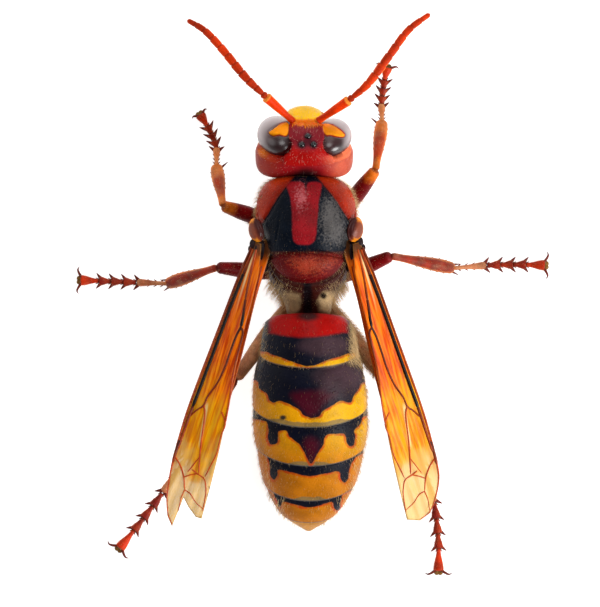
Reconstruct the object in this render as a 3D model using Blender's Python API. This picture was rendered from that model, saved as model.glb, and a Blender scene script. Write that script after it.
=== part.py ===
"""A hornet queen, standing with its legs spread and its wings folded back, at life size.

The model's frame: metres, +Z up, the insect faces -Y and its left side is at +X. The six feet
rest at z = 0, and the origin lies at the middle of the model's box, on the floor.
Lengths below are in millimetres, as an entomologist would note them, and MM turns them to metres.
"""
import math
from dataclasses import dataclass

import bmesh
import bpy
from mathutils import Matrix, Vector
from mathutils.geometry import delaunay_2d_cdt

MM = 0.001
GAP = 0.3
SLIVER = 0.004
WELD = 0.001
CORNER_LIMIT = 1.6
SHARP_ANGLE = 40.0
POINT_SHARE = 0.12

# The middle plane of the body: each main part lies a little aside of the last, as it set
HEAD_MID = 0.68
THORAX_MID = 0.60
WAIST_MID = 0.42
GASTER_MID = (0.40, 0.36, 0.22, 0.18, 0.24, 0.33)

# Head capsule, in its own frame: x to the left, y to the back, z to the crown
HEAD_CENTRE = (HEAD_MID, -12.3, 6.0)
HEAD_PITCH = 30.0
HEAD_HALF_WIDTH = 3.85
HEAD_UP = 3.3
HEAD_DOWN = 3.9
HEAD_FRONT = 2.05
HEAD_BACK = 2.65
HEAD_BOX = {"front": 3.0, "back": 5.0}
HEAD_CROWN = 2.3
CHEEK_DRAW = 0.42
CHEEK_CURVE = ((0.0, 0.0), (0.45, 0.25), (1.0, 1.0))
NAPE_HOLLOW = {"depth": 0.35, "up": -0.1, "half_width": 0.4, "half_height": 0.5}
CLYPEUS_BULGE = {"depth": 0.45, "up": -0.45, "half_width": 0.5, "half_height": 0.42}

# Compound eyes, cut by the yellow notch beside each antenna
EYE_CENTRE = (2.28, -0.55, 0.25)
EYE_SIZE = (1.4, 1.34, 2.4)
EYE_LEAN = 10.0
NOTCH_CENTRE = (1.25, -1.75, 0.75)
NOTCH_SIZE = (1.25, 0.95, 0.55)

# Mandibles, which close under the clypeus
MANDIBLE_PATH = ((1.8, 0.25, -2.7), (1.85, 0.1, -3.5), (1.35, -0.1, -4.1), (0.28, -0.2, -4.5))
MANDIBLE_RADII = (0.65, 0.7, 0.55, 0.25)
MANDIBLE_STEPS = 6
TOOTH_LENGTHS = (0.45, 0.7, 0.7)
TOOTH_PLACES = (0.15, 0.55, 0.95)
TOOTH_LEAN = (-0.3, 0.1, 1.0)
TOOTH_RADIUS = 0.22

# Antennae: scape, then ten joints of the whip
ANTENNA_SIDES = 8
SCAPE_RADII = (0.28, 0.3, 0.34, 0.36)
WHIP_JOINTS = 10
WHIP_RINGS = 3
WHIP_RADIUS = 0.36
WHIP_TIP = 0.22
WHIP_NECK = 0.84
SCAPE_STEPS = 5
ANTENNAE = {
    "left": ((1.74, -14.04, 7.2), (3.74, -15.8, 8.6),
             ((5.34, -17.32, 9.2), (7.26, -19.64, 9.3), (8.62, -21.08, 8.8), (10.02, -21.95, 8.0))),
    "right": ((-0.6, -14.04, 7.2), (-2.88, -15.54, 8.6),
              ((-4.35, -16.8, 9.2), (-6.14, -19.15, 9.3), (-7.63, -21.13, 8.8), (-9.36, -22.45, 8.0))),
}

# Thorax, as cross-sections from the collar to the waist: y, half-width, top, bottom
THORAX_SECTIONS = (
    (-9.6, 1.3, 7.3, 5.0),
    (-9.4, 2.3, 8.2, 4.2),
    (-8.9, 3.2, 8.9, 3.7),
    (-7.9, 3.8, 9.6, 3.3),
    (-6.6, 4.04, 10.15, 3.0),
    (-5.0, 3.85, 10.4, 2.8),
    (-3.5, 3.5, 10.15, 2.8),
    (-2.3, 3.2, 10.05, 2.9),
    (-1.2, 3.05, 9.3, 3.1),
    (-0.4, 2.6, 8.6, 3.4),
    (0.2, 2.25, 7.9, 3.8),
    (0.75, 1.95, 7.1, 4.3),
    (1.0, 1.65, 6.6, 4.6),
    (1.1, 1.0, 6.2, 4.9),
)
THORAX_RINGS = 26
THORAX_SIDES = 32
THORAX_BOX = 2.25
THORAX_MIDDLE = 0.48
GROOVES = ((-3.5, 0.28, 0.3), (-1.1, 0.3, 0.25))
COLLAR_SEAM = ((-9.6, 1.2), (-8.6, 2.1), (-7.2, 2.95), (-6.2, 3.7))
COLLAR_SEAM_WIDTH = 0.3
COLLAR_SEAM_DEPTH = 0.22
COLLAR_SEAM_RUN = 0.8
NECK_PATH = ((-9.0, 6.2), (-10.6, 5.9))
NECK_RADIUS = 0.9
NECK_SIDES = 12
WAIST_PATH = ((0.8, 5.5), (1.6, 5.75), (2.4, 6.1))
WAIST_RADIUS = 0.55
WAIST_STEPS = 4

# Gaster: the rear edge of each ring as y, z, half-width, half-height and pitch
GASTER_FRONT = ((2.1, 6.2, 1.0, 1.0, -10.0), (1.8, 6.4, 2.1, 2.15, -10.0), (1.72, 6.5, 2.85, 2.85, -8.0),
                (2.15, 6.5, 3.4, 3.3, -2.0), (3.2, 6.5, 3.66, 3.55, 6.0))
GASTER_EDGES = ((4.84, 6.4, 3.84, 3.65, 14.0), (9.24, 5.2, 4.56, 4.05, 16.5), (12.42, 4.25, 4.24, 3.6, 17.0),
                (15.28, 3.35, 3.45, 2.8, 19.0), (17.4, 2.65, 2.12, 1.8, 21.0), (18.8, 2.1, 0.28, 0.3, 22.0))
GASTER_RINGS = (4, 7, 5, 5, 4, 5)
GASTER_SIDES = 28
GASTER_BOX = 2.08
GASTER_LIP = 0.1
GASTER_STEP = 0.08
GASTER_SWELL = (0.0, 0.36, 0.08, 0.08, 0.05, 0.0)

# Tegulae: the scales over the wing roots, as centre, half-length, half-width, half-height, turn, roll
TEGULAE = {
    "left": ((4.5, -5.2, 8.35), 0.98, 0.72, 0.5, 12.0, 40.0),
    "right": ((-3.35, -5.25, 8.35), 1.02, 0.8, 0.5, -10.0, -40.0),
}

# Wings: root, sweep from the body's line, length, heights and thickness
WING_THICK = 0.5
VEIN_WIDTH = 0.42
VEIN_RISE = 0.26
EDGE_MARGIN = 0.15
WING_ROLL = {"root": 34.0, "tip": 14.0}
WING_HEIGHT = {"root": 8.55, "tip": 3.9}
WING_ARCH = 0.35
PLAN_MERGE = 0.001
NORMAL_STEP = 0.1


@dataclass(frozen=True)
class WingPlan:
    """Where one folded forewing lies; its outlines and veins run in (along, across) millimetres."""

    root: tuple
    sweep: float
    side: int
    length: float
    tip: tuple


WINGS = {
    "left": WingPlan(root=(4.42, -3.88), sweep=17.07, side=1, length=23.4,
                     tip=((19.6, -1.4), (21.4, -1.1), (22.7, -0.6), (23.4, 0.0), (21.8, 0.15), (20.9, 0.22),
                          (21.5, 0.8), (22.1, 1.6))),
    "right": WingPlan(root=(-3.5, -3.88), sweep=15.9, side=-1, length=22.6,
                      tip=((19.6, -1.35), (21.0, -0.7), (22.1, 0.15), (22.45, 1.1))),
}
FORE_LEAD = ((0.0, -0.75), (2.4, -0.8), (7.2, -1.15), (14.0, -1.6), (17.9, -1.58))
FORE_TRAIL = ((22.1, 2.1), (19.1, 2.0), (15.8, 1.8), (12.3, 1.45), (9.3, 1.15), (6.6, 0.95), (2.1, 0.65),
              (0.0, 0.45))
FORE_VEINS = {
    "front": ((0.6, -0.32), (4.65, -0.68), (10.6, -1.1), (14.5, -1.38), (18.0, -1.36)),
    "middle": ((0.4, 0.0), (2.3, 0.12), (4.3, 0.36), (6.4, 0.62)),
    "basal": ((6.4, 0.62), (8.8, 0.4), (11.3, 0.08), (12.8, -0.32), (13.9, -0.84), (14.5, -1.38)),
    "fold": ((6.4, 0.62), (7.5, 0.76), (10.5, 0.96), (12.3, 1.08), (14.2, 1.3), (16.0, 1.4), (18.7, 1.3)),
    "disc": ((12.8, -0.32), (14.6, 0.03), (17.1, 0.46), (18.7, 0.8)),
    "cell": ((18.0, -1.36), (18.6, -0.75), (19.4, -0.2), (20.3, 0.12)),
    "cross": ((19.4, -0.2), (18.7, 0.8), (18.7, 1.3)),
    "hook": ((18.7, 1.3), (19.7, 1.7), (21.3, 1.9)),
}
HIND_SINK = 1.0
HIND_LEAD = ((1.0, 0.1), (6.8, 0.3), (11.0, 0.4), (15.2, 0.35), (17.0, 0.5))
HIND_TRAIL = ((16.2, 1.15), (13.0, 1.5), (8.2, 1.35), (4.1, 1.05), (1.0, 0.9))
HIND_VEINS = {"front": ((1.2, 0.45), (6.8, 0.62), (11.0, 0.7), (15.6, 0.65))}


# Legs: hip, trochanter, knee, ankle, instep and toe tip
@dataclass(frozen=True)
class LegPlan:
    """The bends of one leg, from the body out to the claws, in millimetres."""

    hip: tuple
    trochanter: tuple
    knee: tuple
    ankle: tuple
    instep: tuple
    toe: tuple


LEGS = {
    "front_left": LegPlan((1.9, -7.64, 3.7), (3.58, -5.98, 2.8), (7.18, -7.16, 5.6), (7.74, -10.36, 2.2),
                          (7.73, -11.86, 0.95), (9.08, -14.6, 0.5)),
    "front_right": LegPlan((-0.6, -7.7, 3.7), (-2.58, -6.84, 2.8), (-5.02, -10.04, 5.4), (-5.57, -13.96, 2.0),
                           (-5.53, -15.38, 0.95), (-6.0, -18.4, 0.5)),
    "middle_left": LegPlan((1.6, -3.6, 3.5), (2.8, -1.75, 2.6), (7.66, -2.24, 5.6), (11.66, -0.96, 1.5),
                           (14.23, -1.06, 0.9), (18.75, -1.24, 0.5)),
    "middle_right": LegPlan((-0.5, -3.5, 3.5), (-1.9, -1.3, 2.6), (-6.26, -3.16, 5.6), (-11.3, -2.2, 1.5),
                            (-14.05, -2.44, 0.9), (-18.75, -2.44, 0.5)),
    "hind_left": LegPlan((1.6, -0.9, 3.9), (2.05, 0.85, 3.0), (6.14, 6.68, 4.9), (10.14, 13.0, 1.6),
                         (12.14, 15.94, 0.9), (15.6, 20.4, 0.5)),
    "hind_right": LegPlan((-0.52, -0.9, 3.9), (-1.3, 0.85, 3.0), (-5.62, 6.6, 4.9), (-8.9, 13.64, 1.6),
                          (-9.78, 16.73, 0.9), (-10.13, 22.25, 0.5)),
}
LEG_SIDES = 8
COXA_RADII = (0.95, 1.0, 0.75, 0.55)
FEMUR_RADII = (0.44, 0.58, 0.64, 0.62, 0.54, 0.46)
TIBIA_RADII = (0.33, 0.37, 0.46, 0.56, 0.54, 0.4)
TARSAL_ENDS = (0.0, 0.23, 0.45, 0.67, 1.0)
TARSAL_NECKS = (0.25, 0.25, 0.25, 0.26, 0.26)
TARSAL_WIDTHS = (0.34, 0.34, 0.34, 0.34, 0.44)
TARSAL_STATIONS = (0.06, 0.45, 0.92)
TARSAL_BEND = 0.5
TARSAL_SINK = 0.8
SPINE = {"reach": 0.62, "back": 0.3, "ahead": 0.12, "aside": 0.1, "radius": 0.22}
SPUR = {"length": 1.2, "back": 0.45, "aside": 0.25, "radius": 0.16, "lean": (0.78, 0.55), "clear": 0.7}
CLAW_CURVE = ((-0.25, 0.1, 0.0), (0.05, 0.5, 0.02), (0.2, 0.85, -0.08), (0.08, 1.1, -0.22))
CLAW_RADII = (0.2, 0.17, 0.12, 0.05)
CLAW_SIDES = 6
PAD = {"radius": 0.42, "height": 0.5, "back": 0.28}
LEG_STEPS = 5


# Small tools
def clear_scene():
    """Remove every object that the file opens with."""
    for obj in list(bpy.data.objects):
        bpy.data.objects.remove(obj, do_unlink=True)


def finish_material(name, color, roughness, alpha=1.0):
    """Return a plain material of the part's own colour."""
    material = bpy.data.materials.new(name)
    material.use_nodes = True
    shader = material.node_tree.nodes["Principled BSDF"]
    shader.inputs["Base Color"].default_value = (*color, 1.0)
    shader.inputs["Roughness"].default_value = roughness
    shader.inputs["Metallic"].default_value = 0.0
    shader.inputs["Alpha"].default_value = alpha
    return material


def point(x, y, z):
    """Return a point in metres from millimetres."""
    return Vector((x, y, z)) * MM


def smooth_value(stations, at):
    """Read a list of (position, value) pairs as one smooth curve."""
    if at <= stations[0][0]:
        return stations[0][1]
    if at >= stations[-1][0]:
        return stations[-1][1]
    for index in range(len(stations) - 1):
        if at <= stations[index + 1][0]:
            break
    before = stations[max(index - 1, 0)]
    first = stations[index]
    second = stations[index + 1]
    after = stations[min(index + 2, len(stations) - 1)]
    span = second[0] - first[0]
    share = (at - first[0]) / span
    slope_in = (second[1] - before[1]) / max(second[0] - before[0], 1e-9) * span
    slope_out = (after[1] - first[1]) / max(after[0] - first[0], 1e-9) * span
    return (first[1] * (2 * share**3 - 3 * share**2 + 1) + slope_in * (share**3 - 2 * share**2 + share)
            + second[1] * (3 * share**2 - 2 * share**3) + slope_out * (share**3 - share**2))


def smooth_path(points, steps):
    """Return steps + 1 points spread along a smooth curve through the given points."""
    lengths = [0.0]
    for first, second in zip(points, points[1:]):
        lengths.append(lengths[-1] + (Vector(second) - Vector(first)).length)
    curves = [[(lengths[i], p[axis]) for i, p in enumerate(points)] for axis in range(3)]
    return [Vector([smooth_value(curve, lengths[-1] * step / steps) for curve in curves]) * MM
            for step in range(steps + 1)]


def spread(radii, share):
    """Read a row of evenly spaced radii at a share of its length."""
    count = len(radii) - 1
    return smooth_value([(i / count, r) for i, r in enumerate(radii)], share)


def mesh_object(name, mesh, material=None):
    """Put a mesh in the scene as a new object."""
    obj = bpy.data.objects.new(name, mesh)
    bpy.context.scene.collection.objects.link(obj)
    if material:
        mesh.materials.clear()
        mesh.materials.append(material)
    return obj


def from_bmesh(name, shape, material=None):
    """Turn a bmesh into an object with its faces pointing out."""
    bmesh.ops.recalc_face_normals(shape, faces=shape.faces)
    mesh = bpy.data.meshes.new(name)
    shape.to_mesh(mesh)
    shape.free()
    return mesh_object(name, mesh, material)


def apply_modifiers(obj):
    """Replace an object's mesh by what its modifiers make of it."""
    graph = bpy.context.evaluated_depsgraph_get()
    mesh = bpy.data.meshes.new_from_object(obj.evaluated_get(graph))
    obj.modifiers.clear()
    obj.data = mesh


def tube(name, points, radii, sides=LEG_SIDES, material=None):
    """Make a closed tube of changing radius along points given in metres."""
    curve = bpy.data.curves.new(name, "CURVE")
    curve.dimensions = "3D"
    curve.twist_mode = "MINIMUM"
    curve.bevel_depth = MM
    curve.bevel_resolution = sides // 2 - 2
    curve.use_fill_caps = True
    spline = curve.splines.new("POLY")
    spline.points.add(len(points) - 1)
    for index, (spot, radius) in enumerate(zip(points, radii)):
        spline.points[index].co = (*spot, 1.0)
        spline.points[index].radius = radius
    holder = bpy.data.objects.new(name, curve)
    bpy.context.scene.collection.objects.link(holder)
    graph = bpy.context.evaluated_depsgraph_get()
    mesh = bpy.data.meshes.new_from_object(holder.evaluated_get(graph))
    bpy.data.objects.remove(holder, do_unlink=True)
    bpy.data.curves.remove(curve)
    shape = bmesh.new()
    shape.from_mesh(mesh)
    bpy.data.meshes.remove(mesh)
    bmesh.ops.remove_doubles(shape, verts=shape.verts, dist=WELD * MM)
    return from_bmesh(name, shape, material)


def loft(name, rings, material=None):
    """Skin a row of rings that have the same number of points, with flat ends."""
    shape = bmesh.new()
    rows = [[shape.verts.new(p) for p in ring] for ring in rings]
    for row, after in zip(rows, rows[1:]):
        for i in range(len(row)):
            j = (i + 1) % len(row)
            shape.faces.new((row[i], row[j], after[j], after[i]))
    shape.faces.new(rows[0])
    shape.faces.new(rows[-1])
    return from_bmesh(name, shape, material)


def body_ring(centre, half_width, up, down, box, sides, pitch=0.0):
    """Return a rounded cross-section across the body, its plane pitched about the X axis."""
    lean = Matrix.Rotation(math.radians(-pitch), 3, "X")
    ring = []
    for step in range(sides):
        angle = 2 * math.pi * step / sides
        across = math.copysign(abs(math.cos(angle)) ** (2 / box), math.cos(angle))
        rise = math.copysign(abs(math.sin(angle)) ** (2 / box), math.sin(angle))
        local = Vector((half_width * across, 0.0, rise * (up if rise > 0 else down)))
        ring.append((Vector(centre) + lean @ local) * MM)
    return ring


def ellipsoid(name, segments, rings, shape_at, material=None):
    """Make a sphere and send each of its points through shape_at."""
    shape = bmesh.new()
    bmesh.ops.create_uvsphere(shape, u_segments=segments, v_segments=rings, radius=1.0)
    for vertex in shape.verts:
        vertex.co = shape_at(vertex.co.copy())
    return from_bmesh(name, shape, material)


def cone(name, base, tip, radius, sides=4):
    """Make a pointed spine from base to tip, both in metres."""
    axis = tip - base
    turn = axis.to_track_quat("Z", "Y").to_matrix().to_4x4()
    place = Matrix.Translation(base + axis / 2) @ turn
    shape = bmesh.new()
    bmesh.ops.create_cone(shape, cap_ends=True, segments=sides, radius1=radius * MM,
                          radius2=POINT_SHARE * radius * MM, depth=axis.length, matrix=place)
    return from_bmesh(name, shape)


def keep_largest(obj):
    """Keep only the largest closed surface of an object's mesh."""
    shape = bmesh.new()
    shape.from_mesh(obj.data)
    bmesh.ops.remove_doubles(shape, verts=shape.verts, dist=SLIVER * MM)
    bmesh.ops.triangulate(shape, faces=shape.faces)
    bmesh.ops.dissolve_degenerate(shape, edges=shape.edges, dist=SLIVER * MM)
    left = set(shape.faces)
    groups = []
    while left:
        stack = [left.pop()]
        group = list(stack)
        while stack:
            for edge in stack.pop().edges:
                for face in edge.link_faces:
                    if len(edge.link_faces) == 2 and face in left:
                        left.remove(face)
                        group.append(face)
                        stack.append(face)
        groups.append(group)
    groups.sort(key=lambda group: sum(face.calc_area() for face in group))
    for group in groups[:-1]:
        bmesh.ops.delete(shape, geom=group, context="FACES")
    bmesh.ops.triangulate(shape, faces=shape.faces)
    shape.to_mesh(obj.data)
    shape.free()


def join(core, pieces, solver="MANIFOLD"):
    """Unite closed pieces with the core into one closed body."""
    if not pieces:
        return core
    group = bpy.data.collections.new(core.name + "_pieces")
    bpy.context.scene.collection.children.link(group)
    for piece in pieces:
        bpy.context.scene.collection.objects.unlink(piece)
        group.objects.link(piece)
    union = core.modifiers.new("join", "BOOLEAN")
    union.operation = "UNION"
    union.operand_type = "COLLECTION"
    union.collection = group
    union.solver = solver
    apply_modifiers(core)
    for piece in pieces:
        bpy.data.objects.remove(piece, do_unlink=True)
    bpy.data.collections.remove(group)
    keep_largest(core)
    return core


def trim(obj, neighbours, gap=GAP, solver="MANIFOLD"):
    """Cut an object back so that it meets its neighbours face to face, a gap away."""
    for neighbour in neighbours:
        cutter = neighbour.copy()
        cutter.data = neighbour.data.copy()
        cutter.name = "cutter"
        bpy.context.scene.collection.objects.link(cutter)
        shape = bmesh.new()
        shape.from_mesh(cutter.data)
        shape.normal_update()
        moves = [(v, v.normal * gap * MM * min(v.calc_shell_factor(), CORNER_LIMIT)) for v in shape.verts]
        for vertex, move in moves:
            vertex.co += move
        shape.to_mesh(cutter.data)
        shape.free()
        cut = obj.modifiers.new("trim", "BOOLEAN")
        cut.operation = "DIFFERENCE"
        cut.object = cutter
        cut.solver = solver
        apply_modifiers(obj)
        bpy.data.objects.remove(cutter, do_unlink=True)
    keep_largest(obj)
    return obj


def mirror_sign(side):
    """Return +1 for the insect's left and -1 for its right."""
    return 1 if side == "left" else -1


# Finishes
def make_finishes():
    """Return the plain materials of the insect's parts."""
    return {
        "red_shell": finish_material("red_shell", (0.45, 0.05, 0.02), 0.35),
        "black_shell": finish_material("black_shell", (0.06, 0.01, 0.015), 0.3),
        "yellow_shell": finish_material("yellow_shell", (0.85, 0.42, 0.05), 0.35),
        "eye": finish_material("eye", (0.06, 0.02, 0.02), 0.12),
        "leg": finish_material("leg", (0.4, 0.1, 0.03), 0.4),
        "antenna": finish_material("antenna", (0.5, 0.12, 0.02), 0.45),
        "membrane": finish_material("membrane", (0.8, 0.4, 0.06), 0.25, 0.7),
        "jaw": finish_material("jaw", (0.75, 0.35, 0.05), 0.35),
    }


# Head
def head_frame():
    """Return the empty that tilts the head, with its own x, y and z."""
    frame = bpy.data.objects.new("head_frame", None)
    bpy.context.scene.collection.objects.link(frame)
    frame.location = point(*HEAD_CENTRE)
    frame.rotation_euler = (math.radians(-HEAD_PITCH), 0.0, 0.0)
    return frame


def head_shape(direction):
    """Shape the head capsule: wide temples, drawn in to the mouth, with the clypeus as a dome."""
    x, y, z = direction
    box = HEAD_BOX["back"] if y > 0 else HEAD_BOX["front"]
    flat = (abs(x) ** box + abs(y) ** box) ** (1 / box)
    size = (flat**HEAD_CROWN + abs(z) ** HEAD_CROWN) ** (-1 / HEAD_CROWN)
    x, y, z = x * size, y * size, z * size
    draw = 1.0 - CHEEK_DRAW * smooth_value(CHEEK_CURVE, max(-z, 0.0))
    swell = NAPE_HOLLOW if y > 0 else CLYPEUS_BULGE
    bump = math.exp(-((x / swell["half_width"]) ** 2) - ((z - swell["up"]) / swell["half_height"]) ** 2)
    depth = y * (HEAD_BACK if y > 0 else HEAD_FRONT) - swell["depth"] * bump
    return point(x * HEAD_HALF_WIDTH * draw, depth, z * (HEAD_UP if z > 0 else HEAD_DOWN))


def make_head(finishes, frame):
    """Return the head capsule, parented to its frame."""
    head = ellipsoid("head", 28, 18, head_shape, finishes["red_shell"])
    head.parent = frame
    return head


def make_eye(side, finishes, frame):
    """Return one bean-shaped compound eye, in the head's frame."""
    sign = mirror_sign(side)

    def placed(centre, size, lean):
        turn = Matrix.Rotation(math.radians(-lean * sign), 3, "Y")
        middle = Vector((sign * centre[0], centre[1], centre[2]))
        return lambda p: (middle + turn @ Vector((p.x * size[0], p.y * size[1], p.z * size[2]))) * MM

    eye = ellipsoid("eye_" + side, 16, 11, placed(EYE_CENTRE, EYE_SIZE, EYE_LEAN), finishes["eye"])
    notch = ellipsoid("notch", 10, 7, placed(NOTCH_CENTRE, NOTCH_SIZE, 0.0))
    trim(eye, [notch], gap=0.0)
    bpy.data.objects.remove(notch, do_unlink=True)
    eye.parent = frame
    return eye


def make_mandible(side, finishes, frame):
    """Return one mandible with its teeth, in the head's frame."""
    sign = mirror_sign(side)
    path = smooth_path([(sign * x, y, z) for x, y, z in MANDIBLE_PATH], MANDIBLE_STEPS)
    radii = [spread(MANDIBLE_RADII, step / MANDIBLE_STEPS) for step in range(MANDIBLE_STEPS + 1)]
    mandible = tube("mandible_" + side, path, radii, LEG_SIDES, finishes["jaw"])
    lean = Vector((sign * TOOTH_LEAN[0], TOOTH_LEAN[1], TOOTH_LEAN[2])).normalized()
    teeth = []
    for place, length in zip(TOOTH_PLACES, TOOTH_LENGTHS):
        root = path[-1].lerp(path[-3], place)
        teeth.append(cone("tooth", root, root + lean * length * MM, TOOTH_RADIUS))
    join(mandible, teeth)
    mandible.parent = frame
    return mandible


# Antennae
def make_antenna(side, finishes):
    """Return the scape and the jointed whip of one antenna."""
    socket, elbow, whip = ANTENNAE[side]
    scape_path = smooth_path((socket, elbow), SCAPE_STEPS)
    scape_radii = [spread(SCAPE_RADII, step / SCAPE_STEPS) for step in range(SCAPE_STEPS + 1)]
    scape = tube(f"antenna_{side}_scape", scape_path, scape_radii, ANTENNA_SIDES, finishes["antenna"])
    steps = WHIP_JOINTS * WHIP_RINGS
    whip_path = smooth_path((elbow, *whip), steps)
    radii = []
    for step in range(steps + 1):
        share = step / steps
        swell = 1.0 if step % WHIP_RINGS else WHIP_NECK
        radii.append(swell * (WHIP_RADIUS + (WHIP_TIP - WHIP_RADIUS) * share**2))
    radii[-1] = 0.5 * WHIP_TIP
    flagellum = tube(f"antenna_{side}_flagellum", whip_path, radii, ANTENNA_SIDES, finishes["antenna"])
    return scape, flagellum


# Thorax and waist
def groove_depth(y):
    """Return how far the cross grooves of the back sink in at y."""
    return sum(depth * math.exp(-((y - at) / width) ** 2) for at, width, depth in GROOVES)


def seam_depth(across, y):
    """Return how far the seam between the collar and the back sinks in, this far from the middle."""
    at = smooth_value(COLLAR_SEAM, y)
    if not COLLAR_SEAM[0][0] < y < COLLAR_SEAM[-1][0] + COLLAR_SEAM_RUN:
        return 0.0
    return COLLAR_SEAM_DEPTH * math.exp(-((abs(across) - at) / COLLAR_SEAM_WIDTH) ** 2)


def make_thorax(finishes):
    """Return the thorax from the collar to the waist, with the neck."""
    first = THORAX_SECTIONS[0][0]
    length = THORAX_SECTIONS[-1][0] - first
    widths = [(s[0], s[1]) for s in THORAX_SECTIONS]
    tops = [(s[0], s[2]) for s in THORAX_SECTIONS]
    bottoms = [(s[0], s[3]) for s in THORAX_SECTIONS]
    rings = []
    for step in range(THORAX_RINGS + 1):
        y = first + length * 0.5 * (1 - math.cos(math.pi * step / THORAX_RINGS))
        top = smooth_value(tops, y) - groove_depth(y)
        bottom = smooth_value(bottoms, y)
        middle = bottom + THORAX_MIDDLE * (top - bottom)
        mid = THORAX_MID + (WAIST_MID - THORAX_MID) * (y - first) / length
        ring = body_ring((mid, y, middle), smooth_value(widths, y), top - middle, middle - bottom,
                         THORAX_BOX, THORAX_SIDES)
        core = point(mid, y, middle)
        for spot in ring:
            if spot.z > core.z:
                across = (spot.x - core.x) / MM
                spot -= (spot - core).normalized() * seam_depth(across, y) * MM
        rings.append(ring)
    thorax = loft("thorax", rings, finishes["black_shell"])
    neck_path = [point(THORAX_MID, y, z) for y, z in NECK_PATH]
    neck = tube("neck", neck_path, (NECK_RADIUS, NECK_RADIUS), NECK_SIDES)
    return join(thorax, [neck])


def make_waist(finishes):
    """Return the narrow waist between the thorax and the gaster."""
    path = smooth_path([(WAIST_MID, y, z) for y, z in WAIST_PATH], WAIST_STEPS)
    return tube("waist", path, [WAIST_RADIUS] * (WAIST_STEPS + 1), NECK_SIDES, finishes["black_shell"])


# Gaster
def gaster_ring(station, mid, grow=0.0):
    """Return one cross-section of the gaster from its station."""
    y, z, half_width, half_height, pitch = station
    return body_ring((mid, y, z), half_width + grow, half_height + grow, half_height + grow, GASTER_BOX,
                     GASTER_SIDES, pitch)


def make_gaster(finishes):
    """Return the six rings of the gaster, each ending in a lip over the next."""
    stations = list(GASTER_FRONT[3:]) + list(GASTER_EDGES)
    curves = [[(s[0], s[axis]) for s in stations] for axis in range(5)]
    mids = [(y, mid) for y, mid in zip([GASTER_FRONT[0][0]] + [e[0] for e in GASTER_EDGES[:5]], GASTER_MID)]
    rings_out = []
    start = GASTER_FRONT[3][0]
    for number, (edge, count) in enumerate(zip(GASTER_EDGES, GASTER_RINGS), start=1):
        end = edge[0] - (GAP / 2 if number < 6 else 0.0)
        rings = []
        for step in range(count + 1):
            share = step / count
            y = start + (end - start) * share
            station = [smooth_value(curve, y) for curve in curves]
            grow = -GASTER_STEP * (1 - share) if number > 1 else 0.0
            grow += GASTER_LIP * share**3 if number < 6 else 0.0
            grow += GASTER_SWELL[number - 1] * math.sin(math.pi * share**0.7)
            rings.append(gaster_ring(station, smooth_value(mids, y), grow))
        if number == 1:
            rings = [gaster_ring(s, GASTER_MID[0]) for s in GASTER_FRONT[:3]] + rings
        finish = finishes["yellow_shell"] if number > 2 else finishes["black_shell"]
        rings_out.append(loft(f"gaster_{number}", rings, finish))
        start = edge[0] + GAP / 2
    return rings_out


# Tegulae and wings
def make_tegula(side, finishes):
    """Return the glossy scale over one wing root."""
    centre, half_length, half_width, half_height, turn, roll = TEGULAE[side]
    place = (Matrix.Translation(point(*centre)) @ Matrix.Rotation(math.radians(turn), 4, "Z")
             @ Matrix.Rotation(math.radians(roll), 4, "Y"))
    return ellipsoid("tegula_" + side, 14, 9,
                     lambda p: place @ point(p.x * half_width, p.y * half_length, p.z * half_height),
                     finishes["leg"])


def wing_height(plan, along, across, sink):
    """Return the height of the folded wing's middle sheet."""
    share = min(max(along / plan.length, 0.0), 1.0)
    roll = WING_ROLL["root"] + (WING_ROLL["tip"] - WING_ROLL["root"]) * share
    centre = WING_HEIGHT["root"] + (WING_HEIGHT["tip"] - WING_HEIGHT["root"]) * share
    arch = WING_ARCH * math.sin(math.pi * share)
    return centre + arch + across * math.tan(math.radians(roll)) - sink


def wing_spot(plan, along, across, height):
    """Place a point of the wing's plan in the model."""
    sweep = math.radians(plan.sweep)
    x = plan.root[0] + plan.side * (along * math.sin(sweep) - across * math.cos(sweep))
    y = plan.root[1] + along * math.cos(sweep) + across * math.sin(sweep)
    return Vector((x, y, height))


def line_distance(spot, path):
    """Return how far a point of the plan lies from a row of straight stretches."""
    best = math.inf
    for first, second in zip(path, path[1:]):
        start, end = Vector(first), Vector(second)
        share = max(0.0, min(1.0, (spot - start).dot(end - start) / (end - start).length_squared))
        best = min(best, (spot - (start + (end - start) * share)).length)
    return best


def well_inside(spot, outline, margin):
    """Return whether a point lies inside the outline, clear of its edge by a margin."""
    loop = [*outline, outline[0]]
    crossings = 0
    for first, second in zip(loop, loop[1:]):
        if (first[1] > spot.y) != (second[1] > spot.y):
            at = first[0] + (spot.y - first[1]) / (second[1] - first[1]) * (second[0] - first[0])
            crossings += at > spot.x
    return crossings % 2 == 1 and (margin == 0.0 or line_distance(spot, loop) > margin)


def vein_rise(spot, veins):
    """Return how high the veins stand over the membrane at a point of the plan."""
    rise = max(1.0 - line_distance(spot, path) / (VEIN_WIDTH / 2) for path in veins.values())
    return VEIN_RISE * max(rise, 0.0)


def vein_lines(path):
    """Return the middle line of a vein and its two edges, as rows of plan points."""
    rows = [[], [], []]
    for index, spot in enumerate(path):
        before = Vector(path[max(index - 1, 0)])
        after = Vector(path[min(index + 1, len(path) - 1)])
        along = (after - before).normalized()
        side = Vector((-along.y, along.x)) * VEIN_WIDTH / 2
        for row, move in zip(rows, (Vector((0, 0)), side, -side)):
            row.append(Vector(spot) + move)
    return rows


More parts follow.
